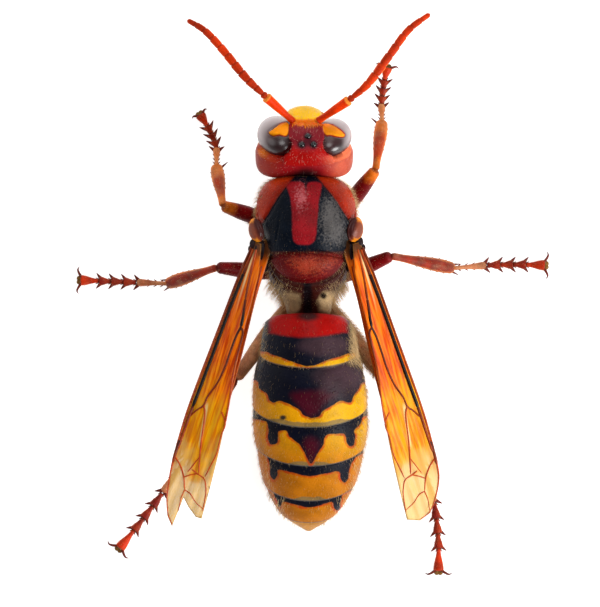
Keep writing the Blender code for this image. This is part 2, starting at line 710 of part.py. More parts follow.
def make_wing(name, plan, outline, veins, sink, finish):
    """Return one wing: a thin sheet, triangulated alike on both faces, with the veins raised in its top."""
    edge_points = [Vector(spot) for spot in outline]
    points = list(edge_points)
    edges = [(i, (i + 1) % len(points)) for i in range(len(points))]
    for path in veins.values():
        for row in vein_lines(path):
            start = len(points)
            points.extend(row)
            inner = [well_inside(spot, edge_points, EDGE_MARGIN) for spot in row]
            edges.extend((start + i, start + i + 1) for i in range(len(row) - 1) if inner[i] and inner[i + 1])
    used = sorted({index for edge in edges for index in edge})
    order = {old: new for new, old in enumerate(used)}
    points = [points[index] for index in used]
    edges = [(order[a], order[b]) for a, b in edges]
    verts, _, faces, *_ = delaunay_2d_cdt(points, edges, [], 0, PLAN_MERGE)
    middles = [sum((verts[i] for i in face), Vector((0, 0))) / 3 for face in faces]
    faces = [face for face, middle in zip(faces, middles) if well_inside(middle, edge_points, 0.0)]
    shape = bmesh.new()
    layers = []
    for face in (1, -1):
        layer = []
        for spot in verts:
            along, across = spot
            here = wing_spot(plan, along, across, wing_height(plan, along, across, sink))
            further, outer = along + NORMAL_STEP, across + NORMAL_STEP
            ahead = wing_spot(plan, further, across, wing_height(plan, further, across, sink))
            aside = wing_spot(plan, along, outer, wing_height(plan, along, outer, sink))
            normal = (ahead - here).cross(aside - here).normalized()
            normal *= math.copysign(1.0, normal.z)
            lift = WING_THICK / 2 + (vein_rise(spot, veins) if face > 0 else 0.0)
            layer.append(shape.verts.new((here + normal * lift * face) * MM))
        layers.append(layer)
    for face in faces:
        shape.faces.new([layers[0][i] for i in face])
        shape.faces.new([layers[1][i] for i in reversed(face)])
    rim = [e for e in shape.edges if len(e.link_faces) == 1 and e.verts[0] in layers[0]]
    pairs = dict(zip(layers[0], layers[1]))
    for edge in rim:
        a, b = edge.verts
        shape.faces.new((a, b, pairs[b], pairs[a]))
    bmesh.ops.delete(shape, geom=[v for v in shape.verts if not v.link_faces], context="VERTS")
    bmesh.ops.triangulate(shape, faces=[f for f in shape.faces if len(f.verts) > 3])
    return from_bmesh(name, shape, finish)


# Legs
def tarsus_point(plan, share):
    """Return a point of the small tarsal joints, which bend on from the first long one."""
    ankle, instep, toe = Vector(plan.ankle), Vector(plan.instep), Vector(plan.toe)
    chord = toe - instep
    ahead = (instep - ankle).normalized() * chord.length
    bend = (ahead - chord) * TARSAL_BEND * share * (1 - share)
    bend.z = 0.0
    spot = instep + chord * share + bend
    spot.z = plan.instep[2] + (plan.toe[2] - plan.instep[2]) * share**TARSAL_SINK
    return spot


def foot_spines(base, end):
    """Return the two spines at the end of a short tarsal joint."""
    axis = (end - base).normalized()
    side = axis.cross(Vector((0, 0, 1))).normalized()
    spines = []
    for sign in (1, -1):
        root = end - axis * SPINE["back"] + side * sign * SPINE["aside"]
        tip = end + axis * SPINE["ahead"] + side * sign * SPINE["reach"]
        tip.z = end.z
        spines.append(cone("spine", root * MM, tip * MM, SPINE["radius"]))
    return spines


def foot_claws(toe, axis):
    """Return the two claws, which spread from the toe's tip and turn down, and the pad between them."""
    side = axis.cross(Vector((0, 0, 1)))
    pieces = []
    for sign in (1, -1):
        path = [(toe + axis * ahead + side * sign * aside + Vector((0, 0, up))) * MM
                for ahead, aside, up in CLAW_CURVE]
        pieces.append(tube("claw", path, CLAW_RADII, CLAW_SIDES))
    pad = bmesh.new()
    place = Matrix.Translation((toe - axis * PAD["back"]) * MM)
    place.translation.z = PAD["height"] / 2 * MM
    bmesh.ops.create_cone(pad, cap_ends=True, segments=10, radius1=PAD["radius"] * MM,
                          radius2=PAD["radius"] * MM, depth=PAD["height"] * MM, matrix=place)
    pieces.append(from_bmesh("pad", pad))
    return pieces


def make_tarsus(name, plan, finish):
    """Return a foot: the long first joint, four short ones with spines, two claws and the pad."""
    ends = [tarsus_point(plan, share) for share in TARSAL_ENDS]
    bases = [Vector(plan.ankle)] + ends[:-1]
    centres = []
    radii = []
    pieces = []
    for number, (base, end) in enumerate(zip(bases, ends)):
        neck, width = TARSAL_NECKS[number], TARSAL_WIDTHS[number]
        for share, radius in zip(TARSAL_STATIONS, (neck, (neck + width) / 2, width)):
            centres.append(base.lerp(end, share) * MM)
            radii.append(radius)
        if number < len(ends) - 1:
            pieces += foot_spines(base, end)
    foot = tube(name, centres, radii, LEG_SIDES, finish)
    axis = ends[-1] - bases[-1]
    axis.z = 0.0
    return join(foot, pieces + foot_claws(ends[-1], axis.normalized()))


def add_spurs(tibia, plan, count):
    """Set the spurs at the lower end of a tibia."""
    knee, ankle = Vector(plan.knee), Vector(plan.ankle)
    axis = (ankle - knee).normalized()
    side = axis.cross(Vector((0, 0, 1))).normalized()
    ahead, aside = SPUR["lean"]
    spurs = []
    for sign in (1, -1)[:count]:
        root = ankle - axis * SPUR["back"] + side * sign * SPUR["aside"]
        tip = root + (axis * ahead + side * sign * aside).normalized() * SPUR["length"]
        tip.z = max(tip.z, SPUR["clear"])
        spurs.append(cone("spur", root * MM, tip * MM, SPUR["radius"]))
    return join(tibia, spurs)


def make_leg(place, finishes):
    """Return the coxa, femur, tibia and tarsus of one leg."""
    plan = LEGS[place]
    finish = finishes["leg"]
    bends = [Vector(p) for p in (plan.hip, plan.trochanter, plan.knee, plan.ankle)]
    pieces = []
    for part, first, second, radii in zip(("coxa", "femur", "tibia"), bends, bends[1:],
                                          (COXA_RADII, FEMUR_RADII, TIBIA_RADII)):
        shares = [step / LEG_STEPS for step in range(LEG_STEPS + 1)]
        path = [first.lerp(second, share) * MM for share in shares]
        pieces.append(tube(f"leg_{place}_{part}", path, [spread(radii, share) for share in shares],
                           LEG_SIDES, finish))
    pieces.append(make_tarsus(f"leg_{place}_tarsus", plan, finish))
    return pieces


def build_hornet():
    """Build every part of the hornet and gather the parts in one collection."""
    clear_scene()
    finishes = make_finishes()
    frame = head_frame()
    thorax = make_thorax(finishes)
    head = make_head(finishes, frame)
    eyes = [make_eye(side, finishes, frame) for side in ("left", "right")]
    jaws = [make_mandible(side, finishes, frame) for side in ("left", "right")]
    bpy.context.view_layer.update()
    trim(head, eyes + [thorax])
    parts = [thorax, head, *eyes]
    for jaw in jaws:
        parts.append(trim(jaw, [head]))
    for side in ("left", "right"):
        scape, flagellum = make_antenna(side, finishes)
        trim(scape, [head])
        trim(flagellum, [scape])
        parts += [scape, flagellum]
    gaster = make_gaster(finishes)
    waist = make_waist(finishes)
    trim(waist, [thorax, gaster[0]])
    parts += [waist, *gaster]
    for side in ("left", "right"):
        tegula = trim(make_tegula(side, finishes), [thorax])
        plan = WINGS[side]
        fore = make_wing("wing_fore_" + side, plan, FORE_LEAD + plan.tip + FORE_TRAIL, FORE_VEINS, 0.0,
                         finishes["membrane"])
        hind = make_wing("wing_hind_" + side, plan, HIND_LEAD + HIND_TRAIL, HIND_VEINS, HIND_SINK,
                         finishes["membrane"])
        trim(fore, [thorax, tegula])
        trim(hind, [thorax, tegula])
        parts += [tegula, fore, hind]
    for place in LEGS:
        coxa, femur, tibia, tarsus = make_leg(place, finishes)
        trim(coxa, [thorax])
        trim(femur, [coxa])
        trim(tibia, [femur])
        trim(tarsus, [tibia])
        add_spurs(tibia, LEGS[place], 1 if place.startswith("front") else 2)
        parts += [coxa, femur, tibia, tarsus]
    group = bpy.data.collections.new("hornet")
    bpy.context.scene.collection.children.link(group)
    for part in parts:
        for home in list(part.users_collection):
            home.objects.unlink(part)
        group.objects.link(part)
        part.data.shade_smooth()
        part.data.set_sharp_from_angle(angle=math.radians(SHARP_ANGLE))
    return parts


if __name__ == "__main__":
    build_hornet()
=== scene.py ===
"""A hornet queen at life size: banded gaster, folded amber wings, raised antennae, standing on a pale table.

Lengths are millimetres, as measured on the insect, and MM turns them into metres. The insect faces -Y,
its left side is at +X, and its feet stand on z = 0. "Plan" means the outline seen from straight above.
"""
from __future__ import annotations

import logging
import math
from dataclasses import dataclass
from enum import Enum
from typing import Any, Callable, Sequence

import bmesh
import bpy
import numpy as np
from mathutils import Matrix, Vector
from mathutils.bvhtree import BVHTree
from mathutils.geometry import delaunay_2d_cdt

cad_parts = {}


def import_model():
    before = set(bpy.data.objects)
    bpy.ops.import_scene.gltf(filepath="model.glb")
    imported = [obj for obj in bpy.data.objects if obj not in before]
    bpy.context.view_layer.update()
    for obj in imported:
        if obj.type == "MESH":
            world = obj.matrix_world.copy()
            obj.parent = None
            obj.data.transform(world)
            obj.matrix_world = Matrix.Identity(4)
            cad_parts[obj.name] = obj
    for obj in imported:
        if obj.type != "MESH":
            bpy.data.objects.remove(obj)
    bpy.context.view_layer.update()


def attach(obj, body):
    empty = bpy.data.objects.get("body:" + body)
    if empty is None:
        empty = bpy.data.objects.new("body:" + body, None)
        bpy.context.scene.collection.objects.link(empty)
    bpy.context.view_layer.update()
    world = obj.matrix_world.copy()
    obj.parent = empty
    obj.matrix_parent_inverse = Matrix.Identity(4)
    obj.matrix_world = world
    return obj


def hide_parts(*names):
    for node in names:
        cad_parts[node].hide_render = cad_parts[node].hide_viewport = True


LOG = logging.getLogger("hornet")
MM = 0.001
SKIN_MAP = "SkinMap"
BAKE_MAP = "OFBake"
TUFT_PATCH = 0.003

Color = tuple[float, float, float]
Spot = tuple[float, float]
Place = tuple[float, float, float]


class Side(Enum):
    """The two sides of the insect, with the sign of X on each."""

    LEFT = 1
    RIGHT = -1

    @property
    def word(self) -> str:
        """Return the side's name as the frame writes it."""
        return self.name.lower()


class Slot(Enum):
    """The record's material slots."""

    HEAD = "head"
    EYE = "eye"
    MANDIBLE = "mandible"
    ANTENNA = "antenna"
    THORAX = "thorax"
    GASTER = "gaster"
    TEGULA = "tegula"
    WING = "wing"
    LEG = "leg"


# Curves and regions

@dataclass(frozen=True)
class Profile:
    """One measured value at a few stations, read as a smooth curve."""

    stations: tuple[Spot, ...]

    def __call__(self, at: Any) -> np.ndarray:
        """Read the curve.

        Args:
            at: one place or an array of places along it.

        Returns:
            The values there; beyond the ends, the end values.
        """
        x, y = np.array(self.stations, float).T
        at = np.clip(np.asarray(at, float), x[0], x[-1])
        index = np.clip(np.searchsorted(x, at, side="left") - 1, 0, len(x) - 2)
        before = np.maximum(index - 1, 0)
        after = np.minimum(index + 2, len(x) - 1)
        span = x[index + 1] - x[index]
        share = (at - x[index]) / span
        slope_in = (y[index + 1] - y[before]) / (x[index + 1] - x[before]) * span
        slope_out = (y[after] - y[index]) / (x[after] - x[index]) * span
        return (y[index] * (2 * share**3 - 3 * share**2 + 1) + slope_in * (share**3 - 2 * share**2 + share)
                + y[index + 1] * (3 * share**2 - 2 * share**3) + slope_out * (share**3 - share**2))


def smooth_path(points: Sequence[Sequence[float]], steps: int) -> np.ndarray:
    """Spread steps + 1 places along a smooth curve.

    Args:
        points: the places that the curve passes through, in two or three dimensions.
        steps: the number of stretches wanted.

    Returns:
        An array with one row for each place.
    """
    spots = np.array(points, float)
    lengths = np.concatenate([[0.0], np.cumsum(np.linalg.norm(np.diff(spots, axis=0), axis=1))])
    at = np.linspace(0.0, lengths[-1], steps + 1)
    return np.stack([Profile(tuple(zip(lengths, column)))(at) for column in spots.T], axis=1)


def spread(values: Sequence[float], share: Any) -> np.ndarray:
    """Read a row of evenly spaced values at shares of its length."""
    count = len(values) - 1
    return Profile(tuple((index / count, value) for index, value in enumerate(values)))(share)


def ease(low: float, high: float, value: np.ndarray) -> np.ndarray:
    """Rise smoothly from 0 at low to 1 at high."""
    share = np.clip((value - low) / (high - low), 0.0, 1.0)
    return share * share * (3 - 2 * share)


def rounded(outline: Sequence[Spot], steps: int = 6) -> list[Spot]:
    """Round off a closed outline by running a smooth curve through its points."""
    corners = np.array(outline, float)
    before, after, beyond = np.roll(corners, 1, 0), np.roll(corners, -1, 0), np.roll(corners, -2, 0)
    rows = []
    for share in np.arange(steps) / steps:
        rows.append(0.5 * (2 * corners + (after - before) * share
                           + (2 * before - 5 * corners + 4 * after - beyond) * share**2
                           + (3 * corners - before - 3 * after + beyond) * share**3))
    return [tuple(spot) for spot in np.stack(rows, axis=1).reshape(-1, 2)]


def region(spots: np.ndarray, outline: Sequence[Spot]) -> np.ndarray:
    """Measure how far inside an outline each spot lies.

    Args:
        spots: an array of plan places, in millimetres.
        outline: the corners of a closed outline.

    Returns:
        The distances to its edge, positive inside and negative outside.
    """
    corners = np.array(outline, float)
    best = np.full(len(spots), np.inf)
    inside = np.zeros(len(spots), bool)
    for start, end in zip(corners, np.roll(corners, -1, axis=0)):
        run = end - start
        share = np.clip(((spots - start) @ run) / max(run @ run, 1e-12), 0, 1)
        best = np.minimum(best, np.linalg.norm(spots - (start + share[:, None] * run), axis=1))
        crosses = (start[1] > spots[:, 1]) != (end[1] > spots[:, 1])
        at = start[0] + (spots[:, 1] - start[1]) / (run[1] or 1e-12) * run[0]
        inside ^= crosses & (spots[:, 0] < at)
    return np.where(inside, best, -best)


def line_distance(spots: np.ndarray, path: Sequence[Spot]) -> np.ndarray:
    """Measure how far each spot lies from a row of straight stretches."""
    corners = np.array(path, float)
    best = np.full(len(spots), np.inf)
    for start, end in zip(corners, corners[1:]):
        run = end - start
        share = np.clip(((spots - start) @ run) / max(run @ run, 1e-12), 0, 1)
        best = np.minimum(best, np.linalg.norm(spots - (start + share[:, None] * run), axis=1))
    return best


# Meshes

def read_points(mesh: bpy.types.Mesh) -> np.ndarray:
    """Return a mesh's points in millimetres."""
    points = np.zeros(len(mesh.vertices) * 3)
    mesh.vertices.foreach_get("co", points)
    return points.reshape(-1, 3) / MM


def read_normals(mesh: bpy.types.Mesh) -> np.ndarray:
    """Return the normals at a mesh's points."""
    normals = np.zeros(len(mesh.vertices) * 3)
    mesh.vertex_normals.foreach_get("vector", normals)
    return normals.reshape(-1, 3)


def side_glow(mesh: bpy.types.Mesh, start: float) -> np.ndarray:
    """Measure how far a thin limb's shell turns sideways, where light shines through its edges."""
    normal = read_normals(mesh)
    return np.hypot(normal[:, 0], normal[:, 1]) - start


def set_value(mesh: bpy.types.Mesh, name: str, values: Any) -> None:
    """Store one number for each point of a mesh."""
    layer = mesh.attributes.get(name) or mesh.attributes.new(name, "FLOAT", "POINT")
    layer.data.foreach_set("value", np.broadcast_to(values, len(mesh.vertices)).astype(np.float32))


def set_vector(mesh: bpy.types.Mesh, name: str, values: np.ndarray) -> None:
    """Store one vector for each point of a mesh."""
    layer = mesh.attributes.get(name) or mesh.attributes.new(name, "FLOAT_VECTOR", "POINT")
    layer.data.foreach_set("vector", values.astype(np.float32).ravel())


def get_value(mesh: bpy.types.Mesh, name: str) -> np.ndarray:
    """Read back the numbers stored for a mesh's points."""
    values = np.zeros(len(mesh.vertices), np.float32)
    mesh.attributes[name].data.foreach_get("value", values)
    return values


def grid_mesh(name: str, rows: np.ndarray, closed: bool = True, island: tuple[float, ...] = (0, 0, 1, 1),
              extra: dict[str, np.ndarray] | None = None) -> bpy.types.Mesh:
    """Skin rows of points into a closed surface with an unwrap of its own shape.

    Args:
        name: the mesh's name.
        rows: an array of rows, each of points in millimetres round the form.
        closed: whether the first and last rows end in a fan.
        island: the unwrap's box in the unit square: left, low, right and high.
        extra: numbers for the same points, stored as attributes.

    Returns:
        The mesh, with its faces pointing out.
    """
    count, around = rows.shape[:2]
    points = rows.reshape(-1, 3)
    ends = []
    if closed:
        ends = [rows[0].mean(0), rows[-1].mean(0)]
        points = np.concatenate([points, ends])
    faces, corners = [], []
    left, low, right, high = island
    for i in range(count - 1):
        for j in range(around):
            k = (j + 1) % around
            faces.append((i * around + j, i * around + k, (i + 1) * around + k, (i + 1) * around + j))
            corners += [(j, i), (j + 1, i), (j + 1, i + 1), (j, i + 1)]
    if closed:
        first, last = count * around, count * around + 1
        for j in range(around):
            k = (j + 1) % around
            faces.append((k, j, first))
            corners += [(j + 1, 0), (j, 0), (j + 0.5, 0)]
            faces.append(((count - 1) * around + j, (count - 1) * around + k, last))
            corners += [(j, count - 1), (j + 1, count - 1), (j + 0.5, count - 1)]
    mesh = bpy.data.meshes.new(name)
    mesh.from_pydata((points * MM).tolist(), [], faces)
    unwrap = np.array(corners, float) / (around, count - 1) * (right - left, high - low) + (left, low)
    mesh.uv_layers.new(name=SKIN_MAP).data.foreach_set("uv", unwrap.astype(np.float32).ravel())
    for key, values in (extra or {}).items():
        tail = [values[0].mean(), values[-1].mean()] if closed else []
        set_value(mesh, key, np.concatenate([values.ravel(), tail]))
    return face_out(mesh)


def face_out(mesh: bpy.types.Mesh) -> bpy.types.Mesh:
    """Turn a closed mesh's faces outwards and shade them smooth."""
    shape = bmesh.new()
    shape.from_mesh(mesh)
    bmesh.ops.recalc_face_normals(shape, faces=shape.faces)
    shape.to_mesh(mesh)
    shape.free()
    mesh.shade_smooth()
    return mesh


def joined(name: str, meshes: Sequence[bpy.types.Mesh]) -> bpy.types.Mesh:
    """Join meshes into one, keeping their attributes and unwraps.

    Args:
        name: the new mesh's name.
        meshes: meshes that each hold at most one material.

    Returns:
        One mesh whose material slots follow the order in which the materials are met.
    """
    shape = bmesh.new()
    materials: list[bpy.types.Material] = []
    for mesh in meshes:
        material = mesh.materials[0] if mesh.materials else None
        if material and material not in materials:
            materials.append(material)
        start = len(shape.faces)
        shape.from_mesh(mesh)
        shape.faces.ensure_lookup_table()
        for face in shape.faces[start:]:
            face.material_index = materials.index(material) if material else 0
    result = bpy.data.meshes.new(name)
    shape.to_mesh(result)
    shape.free()
    for material in materials:
        result.materials.append(material)
    for mesh in meshes:
        bpy.data.meshes.remove(mesh)
    result.shade_smooth()
    return result


def body_rows(centres: np.ndarray, half_width: np.ndarray, up: np.ndarray, down: np.ndarray, box: float,
              sides: int, pitch: np.ndarray) -> np.ndarray:
    """Lay rounded cross-sections across the body.

    Args:
        centres: the middle of each section.
        half_width: each section's half-width.
        up: its height over the middle.
        down: its depth under the middle.
        box: 2 for an ellipse, more for a squarer section.
        sides: the number of points round each section.
        pitch: how far each section's plane leans back, in degrees.

    Returns:
        The sections' points, as rows that start at the left side and run over the top.
    """
    angle = 2 * math.pi * np.arange(sides) / sides
    across = np.sign(np.cos(angle)) * np.abs(np.cos(angle)) ** (2 / box)
    rise = np.sign(np.sin(angle)) * np.abs(np.sin(angle)) ** (2 / box)
    height = np.where(rise > 0, up[:, None], down[:, None]) * rise
    lean = np.radians(pitch)[:, None]
    x = centres[:, 0:1] + half_width[:, None] * across
    y = centres[:, 1:2] + np.sin(lean) * height
    z = centres[:, 2:3] + np.cos(lean) * height
    return np.stack([x, y, z], axis=2)


def tube_mesh(name: str, path: np.ndarray, radii: np.ndarray, sides: int = 20, flat: float = 1.0,
              island: tuple[float, ...] = (0, 0, 1, 1), **extra: np.ndarray) -> bpy.types.Mesh:
    """Run a closed tube along a path.

    Args:
        name: the mesh's name.
        path: the tube's middle line.
        radii: its radius at each place of the path.
        sides: the number of points round it.
        flat: its height as a share of its width.
        island: the unwrap's box.
        extra: one number for each place of the path, stored as attributes.

    Returns:
        The tube's mesh.
    """
    ahead = np.gradient(path, axis=0)
    ahead /= np.linalg.norm(ahead, axis=1)[:, None]
    side = np.cross(ahead, (0.0, 0.0, 1.0))
    short = np.linalg.norm(side, axis=1) < 0.1
    side[short] = np.cross(ahead[short], (1.0, 0.0, 0.0))
    side /= np.linalg.norm(side, axis=1)[:, None]
    above = np.cross(side, ahead)
    angle = 2 * math.pi * np.arange(sides) / sides
    ring = (side[:, None, :] * np.cos(angle)[None, :, None]
            + above[:, None, :] * np.sin(angle)[None, :, None] * flat)
    rows = path[:, None, :] + ring * radii[:, None, None]
    wide = {key: np.repeat(values[:, None], sides, axis=1) for key, values in extra.items()}
    return grid_mesh(name, rows, island=island, extra=wide)


def ball_rows(count: int, around: int) -> np.ndarray:
    """Return the directions of a ball, as rows from its +X pole to its -X pole."""
    fall = math.pi * (np.arange(count) + 0.5) / count
    turn = 2 * math.pi * np.arange(around) / around
    x = np.repeat(np.cos(fall)[:, None], around, axis=1)
    ring = np.sin(fall)[:, None]
    return np.stack([x, ring * np.cos(turn), ring * np.sin(turn)], axis=2)


def drop_onto(meshes: Sequence[bpy.types.Mesh], spot: Spot) -> tuple[Vector, Vector]:
    """Find the highest surface under a plan spot.

    Args:
        meshes: the surfaces to look at.
        spot: a plan place in millimetres.

    Returns:
        The place and the normal there, in metres.
    """
    best = None
    for mesh in meshes:
        tree = BVHTree.FromPolygons([v.co for v in mesh.vertices], [p.vertices for p in mesh.polygons])
        hit = tree.ray_cast(Vector((spot[0] * MM, spot[1] * MM, 0.1)), Vector((0, 0, -1)))
        if hit[0] and (best is None or hit[0].z > best[0].z):
            best = (hit[0], hit[1])
    return best


def placed(name: str, data: Any) -> bpy.types.Object:
    """Put an object with the given data in the scene."""
    item = bpy.data.objects.new(name, data)
    bpy.context.scene.collection.objects.link(item)
    return item


def dress(name: str, mesh: bpy.types.Mesh, nodes: Sequence[str] = (),
          material: bpy.types.Material | None = None) -> bpy.types.Object:
    """Put a finished mesh in the scene as a piece of the insect.

    Args:
        name: the piece's name.
        mesh: its mesh, in metres.
        nodes: the solids that it stands for.
        material: its material, where the mesh has none yet.

    Returns:
        The piece.
    """
    if material:
        mesh.materials.clear()
        mesh.materials.append(material)
    piece = placed(name, mesh)
    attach(piece, "root")
    if nodes:
        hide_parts(*nodes)
    LOG.info("%s: %d faces", name, len(mesh.polygons))
    return piece


# Node trees

def rgba(color: Color) -> tuple[float, ...]:
    """Give a colour its fourth number."""
    return (*color, 1.0)


class Wiring:
    """A node tree with short calls that add nodes and link them."""

    def __init__(self, tree: bpy.types.NodeTree) -> None:
        """Keep the tree."""
        self.tree = tree

    def add(self, kind: str, inputs: dict[Any, Any] | None = None, **settings: Any) -> bpy.types.Node:
        """Add a node.

        Args:
            kind: the node's type.
            inputs: values or sockets for its inputs.
            settings: the node's own options.

        Returns:
            The node.
        """
        node = self.tree.nodes.new(kind)
        for key, value in settings.items():
            setattr(node, key, value)
        for key, value in (inputs or {}).items():
            if isinstance(value, bpy.types.NodeSocket):
                self.tree.links.new(value, node.inputs[key])
            else:
                node.inputs[key].default_value = value
        return node

    def math(self, operation: str, *values: Any) -> bpy.types.NodeSocket:
        """Add a Math node and return its result."""
        return self.add("ShaderNodeMath", dict(enumerate(values)), operation=operation).outputs[0]

    def mix(self, share: Any, first: Any, second: Any, blend: str = "MIX") -> bpy.types.NodeSocket:
        """Mix two colours and return the result."""
        mixer = self.add("ShaderNodeMix", {0: share, 6: first, 7: second}, data_type="RGBA", blend_type=blend)
        return mixer.outputs[2]

    def rise(self, value: Any, low: Any, high: Any, bottom: float = 0.0,
             top: float = 1.0) -> bpy.types.NodeSocket:
        """Map a value smoothly from one range to another."""
        inputs = {0: value, 1: low, 2: high, 3: bottom, 4: top}
        return self.add("ShaderNodeMapRange", inputs, interpolation_type="SMOOTHSTEP").outputs[0]

    def noise(self, scale: Any, detail: float = 3.0, vector: Any = None) -> bpy.types.NodeSocket:
        """Add noise, on the object's own coordinates unless others are given."""
        at = vector or self.add("ShaderNodeTexCoord").outputs["Object"]
        return self.add("ShaderNodeTexNoise", {"Vector": at, "Scale": scale, "Detail": detail}).outputs[0]

    def value_of(self, attribute: str) -> bpy.types.NodeSocket:
        """Read a number stored on the mesh."""
        return self.add("ShaderNodeAttribute", attribute_name=attribute).outputs["Fac"]


def blank_material(name: str) -> tuple[bpy.types.Material, Wiring, bpy.types.Node]:
    """Start a material and return it with its wiring and its shader."""
    material = bpy.data.materials.new(name)
    material.use_nodes = True
    return material, Wiring(material.node_tree), material.node_tree.nodes["Principled BSDF"]


def set_inputs(node: bpy.types.Node, values: dict[str, Any]) -> None:
    """Set plain values on a node's inputs."""
    for key, value in values.items():
        node.inputs[key].default_value = value


def shared_group(name: str, inputs: dict[str, str], outputs: dict[str, str],
                 kind: str = "ShaderNodeTree") -> tuple[Wiring, bpy.types.Node, bpy.types.Node]:
    """Start a node group with named sockets.

    Args:
        name: the group's name.
        inputs: the names and types of its inputs.
        outputs: the names and types of its outputs.
        kind: the kind of tree.

    Returns:
        The tree, its input node and its output node.
    """
    tree = bpy.data.node_groups.new(name, kind)
    for direction, sockets in (("INPUT", inputs), ("OUTPUT", outputs)):
        for label, socket in sockets.items():
            tree.interface.new_socket(label, in_out=direction, socket_type="NodeSocket" + socket)
    wiring = Wiring(tree)
    return wiring, wiring.add("NodeGroupInput"), wiring.add("NodeGroupOutput")


def marking_edge_group() -> bpy.types.NodeTree:
    """Return the group that turns a stored distance into a patch with a slightly ragged edge."""
    wiring, given, result = shared_group(
        "marking_edge", {"Distance": "Float", "Softness": "Float", "Waver": "Float", "Scale": "Float"},
        {"Mask": "Float"})
    swing = wiring.math("MULTIPLY_ADD", wiring.noise(given.outputs["Scale"], 4.0), 2.0, -1.0)
    moved = wiring.math("MULTIPLY_ADD", swing, given.outputs["Waver"], given.outputs["Distance"])
    low = wiring.math("MULTIPLY", given.outputs["Softness"], -1.0)
    wiring.tree.links.new(wiring.rise(moved, low, given.outputs["Softness"]), result.inputs["Mask"])
    return wiring.tree


def tone_group() -> bpy.types.NodeTree:
    """Return the group that lets a colour drift in clouds and in fine grain."""
    wiring, given, result = shared_group(
        "tone_drift", {"Color": "Color", "Clouds": "Float", "Cloud Scale": "Float", "Grain": "Float",
                       "Grain Scale": "Float"}, {"Color": "Color"})
    cloud = wiring.rise(wiring.noise(given.outputs["Cloud Scale"]), 0.3, 0.7, -1.0, 1.0)
    grain = wiring.rise(wiring.noise(given.outputs["Grain Scale"], 2.0), 0.25, 0.75, -1.0, 1.0)
    both = wiring.math("MULTIPLY_ADD", cloud, given.outputs["Clouds"],
                       wiring.math("MULTIPLY", grain, given.outputs["Grain"]))
    level = wiring.math("ADD", both, 1.0)
    tint = wiring.add("ShaderNodeCombineColor", {0: level, 1: level, 2: level}).outputs[0]
    wiring.tree.links.new(wiring.mix(1.0, given.outputs["Color"], tint, "MULTIPLY"), result.inputs["Color"])
    return wiring.tree


def relief_group() -> bpy.types.NodeTree:
    """Return the group of fine pits and grain that every shell plate has."""
    wiring, given, result = shared_group(
        "shell_relief", {"Pits": "Float", "Pit Scale": "Float", "Grain": "Float", "Grain Scale": "Float"},
        {"Height": "Float"})
    at = wiring.add("ShaderNodeTexCoord").outputs["Object"]
    cells = wiring.add("ShaderNodeTexVoronoi", {"Vector": at, "Scale": given.outputs["Pit Scale"]})
    pit = wiring.rise(cells.outputs["Distance"], 0.0, 0.45)
    grain = wiring.noise(given.outputs["Grain Scale"], 3.0, at)
    height = wiring.math("MULTIPLY_ADD", pit, given.outputs["Pits"],
                         wiring.math("MULTIPLY", grain, given.outputs["Grain"]))
    wiring.tree.links.new(height, result.inputs["Height"])
    return wiring.tree


class Effects:
    """The shader groups that the finishes share, each built once."""

    def __init__(self) -> None:
        """Build the groups."""
        self.edge = marking_edge_group()
        self.tone = tone_group()
        self.relief = relief_group()


@dataclass(frozen=True)
class Marking:
    """A coloured patch: the attribute that holds the distance inside it, and how its edge looks (mm)."""

    attribute: str
    color: Color
    softness: float = 0.07
    waver: float = 0.06
    waver_scale: float = 1600.0
    strength: float = 1.0


@dataclass(frozen=True)
class ShellFinish:
    """The finish of a shell plate: its colour, markings, gloss and fine relief."""

    name: str
    base: Color
    markings: tuple[Marking, ...] = ()
    roughness: float = 0.32
    rough_drift: float = 0.12
    specular: float = 0.12
    pits: float = 0.5
    pit_scale: float = 5200.0
    grain: float = 0.6
    grain_scale: float = 9000.0
    relief: float = 0.03
    clouds: float = 0.14
    cloud_scale: float = 700.0
    coat: float = 0.0

    def make(self, effects: Effects) -> bpy.types.Material:
        """Build the material.

        Args:
            effects: the shared shader groups.

        Returns:
            A material that reads the markings from the mesh's attributes.
        """
        material, wiring, shader = blank_material(self.name)
        color: Any = rgba(self.base)
        for marking in self.markings:
            edge = wiring.add("ShaderNodeGroup", {
                "Distance": wiring.value_of(marking.attribute), "Softness": marking.softness,
                "Waver": marking.waver, "Scale": marking.waver_scale}, node_tree=effects.edge)
            mask = wiring.math("MULTIPLY", edge.outputs["Mask"], marking.strength)
            color = wiring.mix(mask, color, rgba(marking.color))
        tone = wiring.add("ShaderNodeGroup", {
            "Color": color, "Clouds": self.clouds, "Cloud Scale": self.cloud_scale,
            "Grain": 0.5 * self.clouds, "Grain Scale": self.grain_scale}, node_tree=effects.tone)
        wiring.tree.links.new(tone.outputs["Color"], shader.inputs["Base Color"])
        relief = wiring.add("ShaderNodeGroup", {
            "Pits": self.pits, "Pit Scale": self.pit_scale, "Grain": self.grain,
            "Grain Scale": self.grain_scale}, node_tree=effects.relief)
        bump = wiring.add("ShaderNodeBump", {"Height": relief.outputs["Height"], "Strength": 1.0,
                                             "Distance": self.relief * MM})
        wiring.tree.links.new(bump.outputs["Normal"], shader.inputs["Normal"])
        drift = wiring.rise(wiring.noise(self.cloud_scale * 2), 0.3, 0.7, self.roughness,
                            self.roughness + self.rough_drift)
        wiring.tree.links.new(drift, shader.inputs["Roughness"])
        set_inputs(shader, {"Specular IOR Level": self.specular, "Coat Weight": self.coat,
                            "Coat Roughness": 0.18})
        return material


